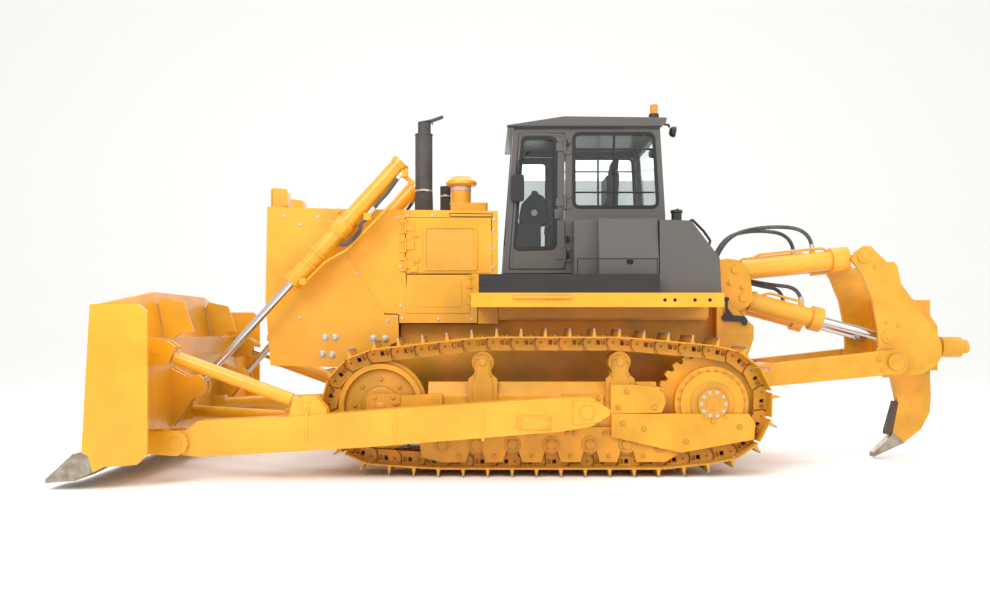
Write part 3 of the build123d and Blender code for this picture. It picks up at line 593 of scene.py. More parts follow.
    def pipe(self, corners: Sequence[Point], radius: float, bend: float = 0.0, sides: int = 12) -> None:
        """Draws a pipe along straight runs with rounded corners.

        Args:
            corners: the run's corners.
            radius: the pipe's radius.
            bend: the radius of each corner's arc.
            sides: the number of sides round.
        """
        path = rounded([Vector(c) for c in corners], bend)
        way = (path[1] - path[0]).normalized()
        first = way.orthogonal().normalized()
        points: list[Vector] = []
        for i, spot in enumerate(path):
            ahead = path[min(i + 1, len(path) - 1)] - path[max(i - 1, 0)]
            way = ahead.normalized()
            first = (first - way * first.dot(way)).normalized()
            second = way.cross(first)
            for k in range(sides):
                a = 2 * math.pi * k / sides
                points.append(spot + (first * math.cos(a) + second * math.sin(a)) * radius)
        faces: list[tuple[int, ...]] = [tuple(range(sides - 1, -1, -1))]
        for i in range(len(path) - 1):
            for k in range(sides):
                j = (k + 1) % sides
                faces.append((i * sides + k, i * sides + j, (i + 1) * sides + j, (i + 1) * sides + k))
        last = (len(path) - 1) * sides
        faces.append(tuple(range(last, last + sides)))
        self.add(points, faces)

    def mirrored(self) -> "Draft":
        """Adds everything drawn so far on the other side of the machine too.

        Returns:
            The same draft, so that it can be built at once.
        """
        points = [Vector((p.x, -p.y, p.z)) for p in self.points]
        faces = [tuple(reversed(face)) for face in self.faces]
        self.add(points, faces)
        return self

    def build(self, name: str, finish: Finish, body: str, edge: float = 0.0) -> bpy.types.Object:
        """Makes the mesh object and hangs it on its body.

        Args:
            name: the piece's name.
            finish: its finish.
            body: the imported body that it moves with.
            edge: the width of a small round on its sharp edges.

        Returns:
            The new object.
        """
        mesh = bpy.data.meshes.new(name)
        mesh.from_pydata([tuple(p * MM) for p in self.points], [], self.faces)
        solid = bmesh.new()
        solid.from_mesh(mesh)
        bmesh.ops.recalc_face_normals(solid, faces=solid.faces)
        solid.to_mesh(mesh)
        solid.free()
        mesh.materials.append(finish.material())
        mesh.shade_smooth()
        mesh.set_sharp_from_angle(angle=SMOOTH_ANGLE)
        piece = bpy.data.objects.new(name, mesh)
        bpy.context.scene.collection.objects.link(piece)
        if edge:
            rounding = piece.modifiers.new("edge_round", "BEVEL")
            rounding.width = edge * MM
            rounding.segments = 2
            rounding.limit_method = "ANGLE"
            rounding.angle_limit = SMOOTH_ANGLE
        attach(piece, body)
        LOG.info("%s: %d faces on %s", name, len(self.faces), body)
        return piece


def _lay(u: float, v: float, plane: float, across: Across) -> Vector:
    """Stands a flat point on its plane."""
    return Vector({Across.X: (plane, u, v), Across.Y: (u, plane, v), Across.Z: (u, v, plane)}[across])


def rounded(corners: list[Vector], bend: float, steps: int = 6, closed: bool = False) -> list[Vector]:
    """Rounds the corners of a run with arcs.

    Args:
        corners: the run's corners.
        bend: each arc's radius, made smaller where a run is too short for it.
        steps: the number of chords in each arc.
        closed: whether the run ends where it starts.

    Returns:
        The points along the run.
    """
    if bend <= 0 or len(corners) < 3:
        return list(corners)
    count = len(corners)
    out = [] if closed else [corners[0]]
    for i in range(0 if closed else 1, count if closed else count - 1):
        a, b, c = corners[i - 1], corners[i], corners[(i + 1) % count]
        u, v = (a - b).normalized(), (c - b).normalized()
        half = u.angle(v) / 2
        reach = min(bend / math.tan(half), (a - b).length * 0.48, (c - b).length * 0.48)
        start, end = b + u * reach, b + v * reach
        for k in range(steps + 1):
            t = k / steps
            out.append(start * (1 - t) ** 2 + b * 2 * t * (1 - t) + end * t ** 2)
    if not closed:
        out.append(corners[-1])
    return out


def soft(corners: Sequence[Flat], bend: float) -> list[Flat]:
    """Gives a closed flat outline with its corners rounded."""
    return [(p.x, p.y) for p in rounded([Vector((u, v, 0)) for u, v in corners], bend, 5, True)]


def arc(centre: Flat, radius: float, start: float, end: float, steps: int) -> list[Flat]:
    """Gives points on an arc, from one angle to another in degrees."""
    turns = [math.radians(start + (end - start) * i / steps) for i in range(steps + 1)]
    return [(centre[0] + radius * math.cos(a), centre[1] + radius * math.sin(a)) for a in turns]


# Where each pin of the left chain sits, in X and Z, from the one under the sprocket forward along the ground.
CHAIN_PINS: tuple[Flat, ...] = (
    (-962.0, 132.0), (-733.4, 132.0), (-504.8, 132.0), (-276.2, 132.0), (-47.6, 132.0), (181.0, 132.0),
    (409.6, 132.0), (638.2, 132.0), (866.8, 132.0), (1095.4, 132.0), (1323.6, 145.5), (1551.8, 159.6),
    (1779.7, 177.3), (1988.5, 270.4), (2132.3, 448.1), (2179.8, 671.7), (2120.8, 892.5), (1968.0, 1062.5),
    (1754.7, 1144.7), (1527.5, 1170.2), (1300.3, 1195.7), (1073.1, 1221.1), (846.0, 1246.5), (617.8, 1260.0),
    (389.2, 1260.0), (160.6, 1260.0), (-68.0, 1260.0), (-296.6, 1260.0), (-525.2, 1260.0), (-753.4, 1245.3),
    (-981.0, 1224.3), (-1208.6, 1203.4), (-1436.3, 1182.4), (-1659.7, 1134.0), (-1840.2, 993.7), (-1938.6, 787.4),
    (-1933.9, 558.8), (-1827.1, 356.7), (-1641.0, 223.9), (-1416.6, 180.3), (-1189.4, 155.6),
)


@dataclass(frozen=True)
class TrackChain:
    """Both track chains: links with windows, pins, shoes, bolts and bare grouser tips."""

    middle: float = 1070.0
    shoe_half: float = 280.0
    pitch: float = 228.6
    plate: Flat = (44.0, 58.0)
    tip: float = 108.0
    grouser_top: float = 132.0
    eye_radius: float = 57.0
    far_eye_radius: float = 50.0
    rail_low: float = -76.0
    bolt_runs: Flat = (88.0, 134.0)
    bolt_lines: Flat = (-87.0, 87.0)
    pins: tuple[Flat, ...] = CHAIN_PINS

    def build(self) -> None:
        """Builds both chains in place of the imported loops."""
        # Links, shoes and pins take the track enamel, which is darkened as painted shade.
        for side, sign in (("left", 1), ("right", -1)):
            links = self._links(sign).build(f"track_links_{side}", TRACK_ENAMEL_PAINTED_SHADE, TRACTOR)
            shoes = self._shoes(sign).build(f"track_shoes_{side}", TRACK_ENAMEL_PAINTED_SHADE, TRACTOR)
            self._tips(sign).build(f"grouser_tips_{side}", GROUSER_STEEL, TRACTOR)
            self._pins(sign).build(f"track_pins_{side}", TRACK_ENAMEL_PAINTED_SHADE, TRACTOR)
            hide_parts(f"track_loop_{side}")
            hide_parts(f"track_loop_{side}")

    def _frames(self) -> list[tuple[Flat, Flat, Flat]]:
        """Finds how each link lies.

        Returns:
            Each link's first pin, the way of its run and the way of its outward side.
        """
        out = []
        for i, a in enumerate(self.pins):
            b = self.pins[(i + 1) % len(self.pins)]
            u = ((b[0] - a[0]) / self.pitch, (b[1] - a[1]) / self.pitch)
            out.append((a, u, (u[1], -u[0])))
        return out

    def _place(self, frame: tuple[Flat, Flat, Flat], outline: Sequence[Flat]) -> list[Flat]:
        """Moves a link's outline from its own run and rise to the chain."""
        a, u, n = frame
        return [(a[0] + u[0] * s + n[0] * r, a[1] + u[1] * s + n[1] * r) for s, r in outline]

    def _links(self, sign: int) -> Draft:
        """Draws both rails of one chain: a near eye over the far eye of the link before it.

        Args:
            sign: 1 for the left chain, -1 for the right.

        Returns:
            The draft.
        """
        low = self.rail_low
        near = arc((0, 0), self.eye_radius, 128, 232, 8)
        near += [(-14, low), (164, low), (167, -60), (160, -30), (158, 0), (160, 30), (168, 50)]
        far = [(96, 50), (100, -74)] + [(236, -74)] + arc((self.pitch, 0), self.far_eye_radius, -60, 60, 6) + [(236,
            50)]
        windows = (soft([(66, 30), (66, -20), (106, -20), (106, 30)], 14), soft([(116, 30), (116, -20), (152, -20),
            (152, 30)], 14))
        draft = Draft()
        for frame in self._frames():
            for rail in (1, -1):
                outer = sorted((self.middle + rail * 87, self.middle + rail * 112))
                inner = sorted((self.middle + rail * 62, self.middle + rail * 86))
                holes = tuple(self._place(frame, window) for window in windows)
                draft.prism(self._place(frame, near), sign * outer[0], sign * outer[1], holes=holes)
                draft.prism(self._place(frame, far), sign * inner[0], sign * inner[1])
        return draft

    def _shoes(self, sign: int) -> Draft:
        """Draws the shoes with their grousers and bolt heads.

        Args:
            sign: 1 for the left chain, -1 for the right.

        Returns:
            The draft.
        """
        low, high = self.plate
        outline = [(-6, low), (224, low), (227, high), (50, high), (41, self.tip), (23, self.tip), (14, high), (-2,
            high)]
        draft = Draft()
        ends = (sign * (self.middle - self.shoe_half), sign * (self.middle + self.shoe_half))
        for frame in self._frames():
            a, u, n = frame
            draft.prism(self._place(frame, outline), *ends)
            for run in self.bolt_runs:
                for across in self.bolt_lines:
                    spot = self._place(frame, [(run, high)])[0]
                    nut = self._place(frame, [(run, low)])[0]
                    y = sign * (self.middle + across)
                    draft.turned((spot[0], y, spot[1]), (n[0], 0, n[1]), [(0, 17), (13, 15)], 6)
                    draft.turned((nut[0], y, nut[1]), (-n[0], 0, -n[1]), [(0, 15), (24, 15)], 6)
        return draft

    def _tips(self, sign: int) -> Draft:
        """Draws the bare upper edge of every grouser.

        Args:
            sign: 1 for the left chain, -1 for the right.

        Returns:
            The draft.
        """
        top = self.grouser_top
        outline = [(23.2, self.tip), (41, self.tip), (39.6, top - 1.5), (38, top), (26, top), (24.4, top - 1.5)]
        draft = Draft()
        for frame in self._frames():
            ends = (sign * (self.middle - self.shoe_half), sign * (self.middle + self.shoe_half))
            draft.prism(self._place(frame, outline), *ends)
        return draft

    def _pins(self, sign: int) -> Draft:
        """Draws every pin's end faces and the bush between the rails.

        Args:
            sign: 1 for the left chain, -1 for the right.

        Returns:
            The draft.
        """
        draft = Draft()
        for x, z in self.pins:
            for face in (-1, 1):
                draft.turned((x, sign * (self.middle + face * 108), z), (0, sign * face, 0), [(0, 23), (5.5, 23),
                    (6.8, 20), (6.8, 9), (4, 7)], 16)
            draft.turned((x, sign * (self.middle - 62), z), (0, sign, 0), [(0, 30), (124, 30)], 12)
        return draft


@dataclass(frozen=True)
class RunningGear:
    """Hubs, covers, roller caps, carrier pedestals and idler bearings on both track frames."""

    sprocket: Flat = (-1454.0, 683.0)
    idler: Flat = (1690.0, 659.0)
    rollers: tuple[float, ...] = (1098, 782, 436, 68, -300, -647, -962)
    roller_z: float = 318.0
    carriers: tuple[float, ...] = (715, -585)
    carrier_z: float = 1071.0
    # Each row: the face that the bolts sit on, their size, and where they are.
    frame_bolts: tuple[tuple[float, float, tuple[Flat, ...]], ...] = (
        (1281, 40, ((-1383, 560), (-1564, 560), (-980, 819), (-900, 650), (-640, 800), (-560, 650))),
        (1290, 40, ((-1700, 470), (-1450, 520), (-1200, 330), (-800, 450), (-600, 500))),
        (1245, 36, ((-380, 735), (-80, 735), (-380, 535), (-80, 535))),
    )
    access_plates: tuple[float, ...] = (60, 330, 900, 1010)
    # How far each pedestal's bolts are from its middle, and their heights.
    pedestal_bolts: tuple[Flat, ...] = ((56, 1114), (-62, 1098), (71, 957), (-75, 957), (104, 700), (-104, 700))

    def build(self) -> None:
        """Builds every piece of the running gear."""
        # Hubs, discs, boxes, pedestals, caps and plates take the track enamel, darkened as painted shade.
        self._hubs()
        self._pedestals()
        self._caps()
        self._frame_bolts()

    def _hubs(self) -> None:
        """Draws the final drives' hubs and bolts, the idlers' discs and their bearing boxes."""
        x, z = self.sprocket
        hub = Draft()
        hub.turned((x, 1218, z), (0, 1, 0), [(0, 262), (14, 258), (24, 214), (36, 204), (40, 152), (64, 146), (74,
            141), (78, 136)], 48)
        bolts = Draft()
        bolts.bolt_ring((x, 1296, z), (0, 1, 0), 114, 10, 30, 18)
        bolts.mirrored().build("final_drive_hub_bolts", ZINC_PLATE, TRACTOR)
        hub.bolt_ring((x, 1216, z), (0, 1, 0), 318, 24, 30, 7)
        hub.turned((x, 1294, z), (0, 1, 0), [(0, 62), (7, 60), (7, 24), (3, 22)], 32)
        hub.box((x - 11, 1296, z - 56), (x + 11, 1304, z - 18))
        hub.mirrored().build("final_drive_hubs", TRACK_ENAMEL_PAINTED_SHADE, TRACTOR, 1.5)
        x, z = self.idler
        disc = Draft()
        disc.turned((x, 1115, z), (0, 1, 0), [(0, 345), (10, 340), (22, 190), (60, 176), (76, 150), (88, 146), (90,
            80)], 48)
        disc.bolt_ring((x, 1140, z), (0, 1, 0), 250, 8, 30)
        disc.mirrored().build("idler_discs", TRACK_ENAMEL_PAINTED_SHADE, TRACTOR, 1.5)
        box = Draft()
        box.prism(soft([(1496, 690), (1496, 775), (1790, 775), (1796, 690), (1760, 600), (1600, 590)], 24), 1248,
            1268)
        box.turned((1681, 1266, 655), (0, 1, 0), [(0, 48), (10, 46), (14, 40)], 28)
        for x, z in ((1550, 685), (1560, 742), (1735, 742)):
            box.bolt((x, 1268, z), (0, 1, 0), 34)
        box.mirrored().build("idler_bearing_boxes", TRACK_ENAMEL_PAINTED_SHADE, TRACTOR, 3)

    def _pedestals(self) -> None:
        """Draws the carriers' pedestals with bell plates, caps and bolts."""
        draft = Draft()
        for x in self.carriers:
            neck = [(x - 137, 640), (x + 137, 640), (x + 137, 917), (x + 82, 964), (x + 66, 1071)]
            neck += arc((x, self.carrier_z), 66, 0, 180, 10) + [(x - 82, 964), (x - 137, 917)]
            draft.prism(neck, 1207, 1232)
            bell = [(x - 96, 690), (x + 96, 690), (x + 92, 880), (x + 60, 960)]
            bell += arc((x, self.carrier_z), 48, 10, 170, 8) + [(x - 60, 960), (x - 92, 880)]
            draft.prism(soft(bell, 14), 1232, 1242)
            draft.turned((x, 1240, self.carrier_z), (0, 1, 0), [(0, 36), (12, 34), (16, 26)], 24)
            for dx, z in self.pedestal_bolts:
                draft.bolt((x + dx, 1233, z), (0, 1, 0), 28)
        draft.mirrored().build("carrier_pedestals", TRACK_ENAMEL_PAINTED_SHADE, TRACTOR, 3)

    def _caps(self) -> None:
        """Draws the rollers' end caps and the bolts along the guards."""
        caps = Draft()
        for x in self.rollers:
            caps.turned((x, 1234, self.roller_z - 22), (0, 1, 0), [(0, 84), (12, 82), (13, 66), (10, 64), (10, 46),
                (22, 44), (24, 32)], 32)
            caps.bolt_ring((x, 1244, self.roller_z - 22), (0, 1, 0), 55, 4, 14, 45)
        caps.mirrored().build("roller_end_caps", TRACK_ENAMEL_PAINTED_SHADE, TRACTOR, 1.5)
        bolts = Draft()
        for before, after in zip(self.rollers, self.rollers[1:]):
            mid = (before + after) / 2
            for dx, z in ((-34, 405), (34, 405), (0, 190)):
                bolts.bolt((mid + dx, 1240, z), (0, 1, 0), 34)
        bolts.mirrored().build("roller_guard_bolts", TRACK_ENAMEL_PAINTED_SHADE, TRACTOR)

    def _frame_bolts(self) -> None:
        """Draws the covers' bolts, the rear guard's edge and the beam's access plates."""
        draft = Draft()
        for face, size, spots in self.frame_bolts:
            for x, z in spots:
                draft.bolt((x, face, z), (0, 1, 0), size)
        for x in self.access_plates:
            draft.prism(soft([(x - 60, 560), (x + 60, 560), (x + 60, 690), (x - 60, 690)], 18), 1204, 1212)
            for dx in (-44, 44):
                for z in (577, 673):
                    draft.bolt((x + dx, 1212, z), (0, 1, 0), 20)
        draft.mirrored().build("track_frame_plates", TRACK_ENAMEL_PAINTED_SHADE, TRACTOR, 1)


@dataclass(frozen=True)
class BladeGear:
    """Push arms, brace and the blade's back: pins, plates and bolts."""

    trunnion: Flat = (-230.0, 633.0)
    brace_front: Flat = (3694.0, 1186.0)
    brace_rear: Flat = (2323.0, 690.0)
    clamp_bolts: tuple[Flat, ...] = ((3526, 1200), (3489, 1186), (3584, 1092), (3555, 1082))
    edge_nuts: int = 26
    edge_nut_pitch: float = 158.0
    edge_nut_first: float = -1975.0

    def build(self) -> None:
        """Builds the pieces on the blade's frame."""
        arms = Draft()
        x, z = self.trunnion
        arms.turned((x, 1598, z), (0, 1, 0), [(0, 104), (22, 102), (26, 62), (50, 58), (53, 44)], 40)
        arms.bolt_ring((x, 1622, z), (0, 1, 0), 82, 6, 26, 30)
        arms.box((98, 1616, 478), (398, 1632, 599))
        for dx in (120, 376):
            for dz in (500, 577):
                arms.bolt((dx, 1632, dz), (0, 1, 0), 28)
        for x0 in (700, 1500, 2300):
            arms.box((x0, 1618, 372), (x0 + 24, 1626, 640))
        arms.mirrored().build("push_arm_fittings", YELLOW_ENAMEL, BLADE, 2)
        front = Draft()
        front.prism(soft([(3630, 500), (3442, 437), (3391, 379), (3399, 321), (3440, 285), (3600, 285)], 16), 1618,
            1640)
        front.turned((3488, 1636, 357), (0, 1, 0), [(0, 50), (12, 48), (16, 38)], 28)
        front.mirrored().build("push_arm_front_boxes", YELLOW_ENAMEL, BLADE, 3)
        plates = Draft()
        x, z = self.brace_rear
        plates.prism(soft([(x - 52, z - 52), (x + 52, z - 52), (x + 52, z + 52), (x - 52, z + 52)], 10), 1580, 1596)
        for dx in (-34, 34):
            for dz in (-34, 34):
                plates.bolt((x + dx, 1596, z + dz), (0, 1, 0), 18)
        plates.turned((x, 1594, z), (0, 1, 0), [(0, 26), (8, 24)], 20)
        x, z = self.brace_front
        plates.turned((x, 1578, z), (0, 1, 0), [(0, 60), (14, 58), (16, 34), (22, 30)], 28)
        plates.mirrored().build("brace_end_plates", YELLOW_ENAMEL, BLADE, 2)
        self._brace_bolts()
        self._edge_bolts()

    def _brace_bolts(self) -> None:
        """Draws the clamp bolts on the two braces' front ends."""
        draft = Draft()
        for x, z in self.clamp_bolts:
            draft.bolt((x, 1562, z), (0, 1, 0), 26)
        draft.mirrored().build("brace_clamp_bolts", ZINC_PLATE, BLADE)

    def _edge_bolts(self) -> None:
        """Draws the bolts that hold the cutting edges, seen behind the blade's foot."""
        draft = Draft()
        for i in range(self.edge_nuts):
            y = self.edge_nut_first + i * self.edge_nut_pitch
            draft.turned((4064, y, 265), (-1, 0, 0.1), [(0, 17), (16, 15)], 6)
        draft.build("cutting_edge_nuts", SOIL_STEEL, BLADE)


@dataclass(frozen=True)
class LiftGear:
    """The lift cylinders' yokes, clamps and oil lines."""

    top: Flat = (2108.0, 2389.0)
    up: Flat = (-0.673, 0.7395)
    side: float = 884.0

    def _at(self, along: float, off: float) -> Flat:
        """Gives the X, Z of a point up the barrel and off to its lower side."""
        return (self.top[0] + self.up[0] * along - self.up[1] * off,
            self.top[1] + self.up[1] * along + self.up[0] * off)

    def _run(self, spots: Sequence[Flat], y: float) -> list[Point]:
        """Lifts barrel points into the machine."""
        return [(x, y, z) for x, z in (self._at(a, o) for a, o in spots)]

    def build(self) -> None:
        """Builds the lines, bands and caps on both barrels, and the yokes' bolts."""
        body = "lift_barrel_pair"
        steel = Draft()
        steel.pipe(self._run([(-640, 100), (-355, 115), (-135, 190), (195, 200), (514, 212), (770, 205)], self.side),
            15, 90)
        steel.pipe(self._run([(-630, 60), (-636, 128)], self.side), 24)
        steel.pipe(self._run([(790, 96), (800, 225), (770, 225)], self.side), 24, 20)
        steel.pipe(self._run([(860, 92), (700, 96)], self.side + 30), 13, 20)
        steel.mirrored().build("lift_oil_tubes", YELLOW_ENAMEL, body, 1)
        rubber = Draft()
        rubber.pipe(self._run([(722, 93), (560, 112), (429, 112), (360, 116)], self.side + 30), 19, 120)
        rubber.pipe(self._run([(215, 131), (165, 120), (100, 160), (5, 165), (-95, 150), (-130, 110)],
            self.side + 30), 19, 60)
        rubber.mirrored().build("lift_line_sleeves", HOSE_RUBBER, body)
        chrome = Draft()
        for a, b in (((795, 92), (722, 93)), ((362, 116), (288, 120))):
            chrome.pipe(self._run([a, b], self.side + 30), 24, 0, 6)
        chrome.mirrored().build("lift_line_fittings", ZINC_PLATE, body, 1)
        block = Draft()
        for a, o, r in ((250, 124, 36), (-648, 84, 34), (806, 110, 34)):
            x, z = self._at(a, o)
            block.box((x - r, self.side - 20, z - r), (x + r, self.side + 52, z + r))
        block.mirrored().build("lift_line_blocks", YELLOW_ENAMEL, body, 5)
        bands = Draft()
        for a in (-352, -488):
            x, z = self._at(a, 0)
            y = 850.0
            bands.turned((x, y, z), (self.up[0], 0, self.up[1]), [(0, 101), (30, 101)], 40)
        bands.mirrored().build("lift_barrel_bands", YELLOW_ENAMEL, body, 1)
        yoke = Draft()
        x, z = self.top
        yoke.turned((x, 946, z), (0, 1, 0), [(0, 64), (10, 62), (12, 40), (18, 34)], 32)
        yoke.mirrored().build("lift_trunnion_caps", YELLOW_ENAMEL, body, 1.5)
        bolts = Draft()
        for a, o in ((97, -144), (-51, -138), (101, 102), (-45, 98)):
            x, z = self._at(a, o)
            bolts.bolt((min(x, 2205), 790, z), (0, 1, 0), 44)
        bolts.mirrored().build("lift_yoke_bolts", YELLOW_ENAMEL, TRACTOR)


@dataclass(frozen=True)
class FrontHousing:
    """The engine's housing: lower doors, grilles, hinges, latches, seams drawn as painted shade, bolts and front
    lamps.
    """

    skin: float = 650.0
    door: float = 660.0
    lower_hinges: tuple[float, ...] = (1914, 1820, 1744, 1656)
    seams: tuple[tuple[Flat, ...], ...] = (
        ((1565, 1536), (1565, 1446)), ((1565, 1446), (772, 1446)), ((772, 1446), (765, 1636)),
        ((2094, 2160), (1703, 1540), (1568, 1540)),
    )
    seam_width: float = 9.0
    small_bolts: tuple[Flat, ...] = (
        (1571, 2512), (1473, 2530), (1225, 2535), (1546, 2015), (1548, 1618), (1530, 1492), (1162, 1486), (828, 1486),
        (604, 2486), (604, 2386), (612, 2197), (614, 2009), (2723, 2525), (2383, 2517), (1980, 1950), (1678, 1470),
        (2560, 2440), (2560, 1500),
    )
    large_bolts: tuple[Flat, ...] = ((2304, 1304), (2204, 1304), (1819, 1296), (1700, 1291), (2331, 1138), (2235,
        1129))
    louvres: int = 34
    louvre_pitch: float = 35.0
    louvre_first: float = 1230.0

    def build(self) -> None:
        """Builds every piece on the housing."""
        self._lower_doors()
        self._upper_doors()
        self._seams()
        self._bolts()
        self._front()
        self._lamps()

    def _lower_doors(self) -> None:
        """Draws the doors under the engine doors, and the housing's slots as strips of painted shade."""
        draft = Draft()
        outline = [(1483, 1933), (835, 1933), (847, 1548), (1496, 1548)]
        draft.prism(soft(outline, 22), self.skin - 20, self.skin + 7)
        draft.prism(soft([(1400, 1880), (930, 1880), (930, 1610), (1400, 1610)], 26), self.skin, self.skin + 11)
        for z in self.lower_hinges:
            draft.rod((845, self.skin + 12, z - 22), (845, self.skin + 12, z + 22), 10, 12)
            draft.box((815, self.skin, z - 20), (880, self.skin + 12, z + 20))
        draft.mirrored().build("lower_engine_doors", YELLOW_ENAMEL, TRACTOR, 2)
        slot = Draft()
        # The slots' outlines are dark strips of painted shade.
        slot.ribbon([(1049, 2524), (1049, 2556), (621, 2548), (621, 2520)], 7, self.skin, self.skin + 2, closed=True)
        slot.ribbon([(1476, 1560), (854, 1560), (838, 1941), (1490, 1941)], 9, self.skin, self.skin + 2, closed=True)
        slot.mirrored().build("housing_slot_painted_shade", PAINTED_GAP_SHADE, TRACTOR)

    def _upper_doors(self) -> None:
        """Draws the engine doors' grille frames, latches and grille sheets."""
        for side, sign in (("left", 1), ("right", -1)):
            body = f"engine_door_{side}"
            frame = Draft()
            y0, y1 = sign * (self.skin + 1), sign * (self.door + 5)
            outer = soft([(776, 1978), (1318, 1978), (1318, 2425), (776, 2425)], 30)
            inner = soft([(803, 2000), (1290, 2000), (1290, 2402), (803, 2402)], 20)
            frame.prism(outer, y0, y1, holes=(inner,))
            for x, z in ((1401, 2084), (1414, 1994)):
                frame.prism(soft([(x - 42, z - 30), (x + 42, z - 30), (x + 42, z + 30), (x - 42, z + 30)], 14), y0,
                    y1)
            frame.build(f"engine_grille_frame_{side}", YELLOW_ENAMEL, body, 2)
            latch = Draft()
            for z in (2084, 2330):
                latch.turned((1401, sign * (self.door + 3), z), (0, sign, 0), [(0, 22), (6, 20), (6, 13), (3, 12)],
                    24)
                latch.box((1372, min(sign * 664, sign * 671), z - 7), (1430, max(sign * 664, sign * 671), z + 7))
            latch.build(f"engine_door_latches_{side}", YELLOW_ENAMEL, body, 1)
            # The grille sheet's brown tone is painted shade from its holes.
            mesh = Draft()
            mesh.prism([(803, 2000), (1290, 2000), (1290, 2402), (803, 2402)], sign * (self.skin + 1),
                sign * (self.skin + 4))
            mesh.build(f"engine_grille_sheet_{side}", PUNCHED_SHEET_HOLE_SHADE, body)

    def _seams(self) -> None:
        """Draws painted shade along the gaps between the housing's panels, and the straps on the guard's sides."""
        draft = Draft()
        face = self.skin
        # Each seam is a dark strip of painted shade standing just proud of the skin.
        for run in self.seams:
            draft.ribbon(run, self.seam_width, face - 2, face + 1.6)
        draft.mirrored().build("housing_seam_painted_shade", PAINTED_GAP_SHADE, TRACTOR)
        strap = Draft()
        strap.prism([(2104, 2166), (1716, 1552), (1640, 1552), (1640, 1566), (1708, 1566), (2092, 2174)], face,
            face + 5)
        strap.mirrored().build("guard_side_straps", YELLOW_ENAMEL, TRACTOR, 1)

    def _bolts(self) -> None:
        """Draws the housing's small bolts and the guard's large ones."""
        small = Draft()
        for x, z in self.small_bolts:
            small.bolt((x, self.skin, z), (0, 1, 0), 24)
        small.mirrored().build("housing_bolts", ZINC_PLATE, TRACTOR)
        large = Draft()
        for x, z in self.large_bolts:
            large.turned((x, self.skin, z), (0, 1, 0), [(0, 36), (5, 36)], 24)
            large.bolt((x, self.skin + 3, z), (0, 1, 0), 48, 22)
        large.mirrored().build("guard_large_bolts", ZINC_PLATE, TRACTOR, 1)

    def _front(self) -> None:
        """Draws the radiator door's louvres, as strips of painted shade, and its hinges."""
        louvres = Draft()
        # Each louvre is drawn as a thin dark strip of painted shade.
        for i in range(self.louvres):
            z = self.louvre_first + i * self.louvre_pitch
            louvres.prism([(-480, z), (480, z), (480, z + 6), (-480, z + 6)], 2900, 2906, Across.X)
        louvres.build("radiator_louvre_painted_shade", PAINTED_GAP_SHADE, TRACTOR)
        hinges = Draft()
        for z in (2374, 2200, 1883, 1620, 1300):
            hinges.rod((2893, 578, z - 30), (2893, 578, z + 30), 13, 14)
            hinges.box((2860, 560, z - 26), (2899, 600, z + 26))
        for z in (2300, 1800, 1330):
            hinges.box((2884, -590, z - 24), (2912, -540, z + 24))
        hinges.build("radiator_door_hinges", YELLOW_ENAMEL, TRACTOR, 2)

    def _lamps(self) -> None:
        """Draws the front lamps on the guard and the round work lamps on the roof."""
        cases = Draft()
        lenses = Draft()
        work = Draft()
        for y0, y1 in ((330, 520), (-520, -330)):
            mid = (y0 + y1) / 2
            cases.prism(soft([(2712, 2640), (2846, 2628), (2868, 2640), (2868, 2815), (2846, 2832), (2712, 2815)],
                14), y0, y1)
            cases.pipe([(2735, mid, 2560), (2735, mid, 2650)], 28)
            cases.prism([(mid - 70, 2585), (mid + 70, 2585), (mid + 70, 2640), (mid - 70, 2640)], 2740, 2800,
                Across.X)
            cases.prism(soft([(y0, 2632), (y1, 2632), (y1, 2828), (y0, 2828)], 16), 2864, 2884, Across.X,
                        (soft([(y0 + 14, 2646), (y1 - 14, 2646), (y1 - 14, 2814), (y0 + 14, 2814)], 12),))
            lenses.prism(soft([(y0 + 12, 2644), (y1 - 12, 2644), (y1 - 12, 2816), (y0 + 12, 2816)], 12), 2866, 2874,
                Across.X)
        for sign in (1, -1):
            work.turned((-1170, sign * 600, 3392), (-1, 0, -0.15), [(0, 30), (18, 50), (52, 56), (60, 56)], 28)
            work.pipe([(-1115, sign * 600, 3460), (-1160, sign * 600, 3458), (-1172, sign * 600, 3430)], 11, 12)
            work.turned((820, sign * 560, 2640), (1, 0, -0.1), [(0, 1), (1, 1)], 4)
            lenses.turned((-1228, sign * 600, 3383), (-1, 0, -0.15), [(0, 50), (6, 46)], 28)
        shell = cases.build("front_lamp_cases", YELLOW_ENAMEL, TRACTOR, 3)
        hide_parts("lamps")
        work.build("roof_work_lamps", BLACK_ENAMEL, TRACTOR, 1)
        lenses.build("lamp_lenses", LAMP_GLASS, TRACTOR)


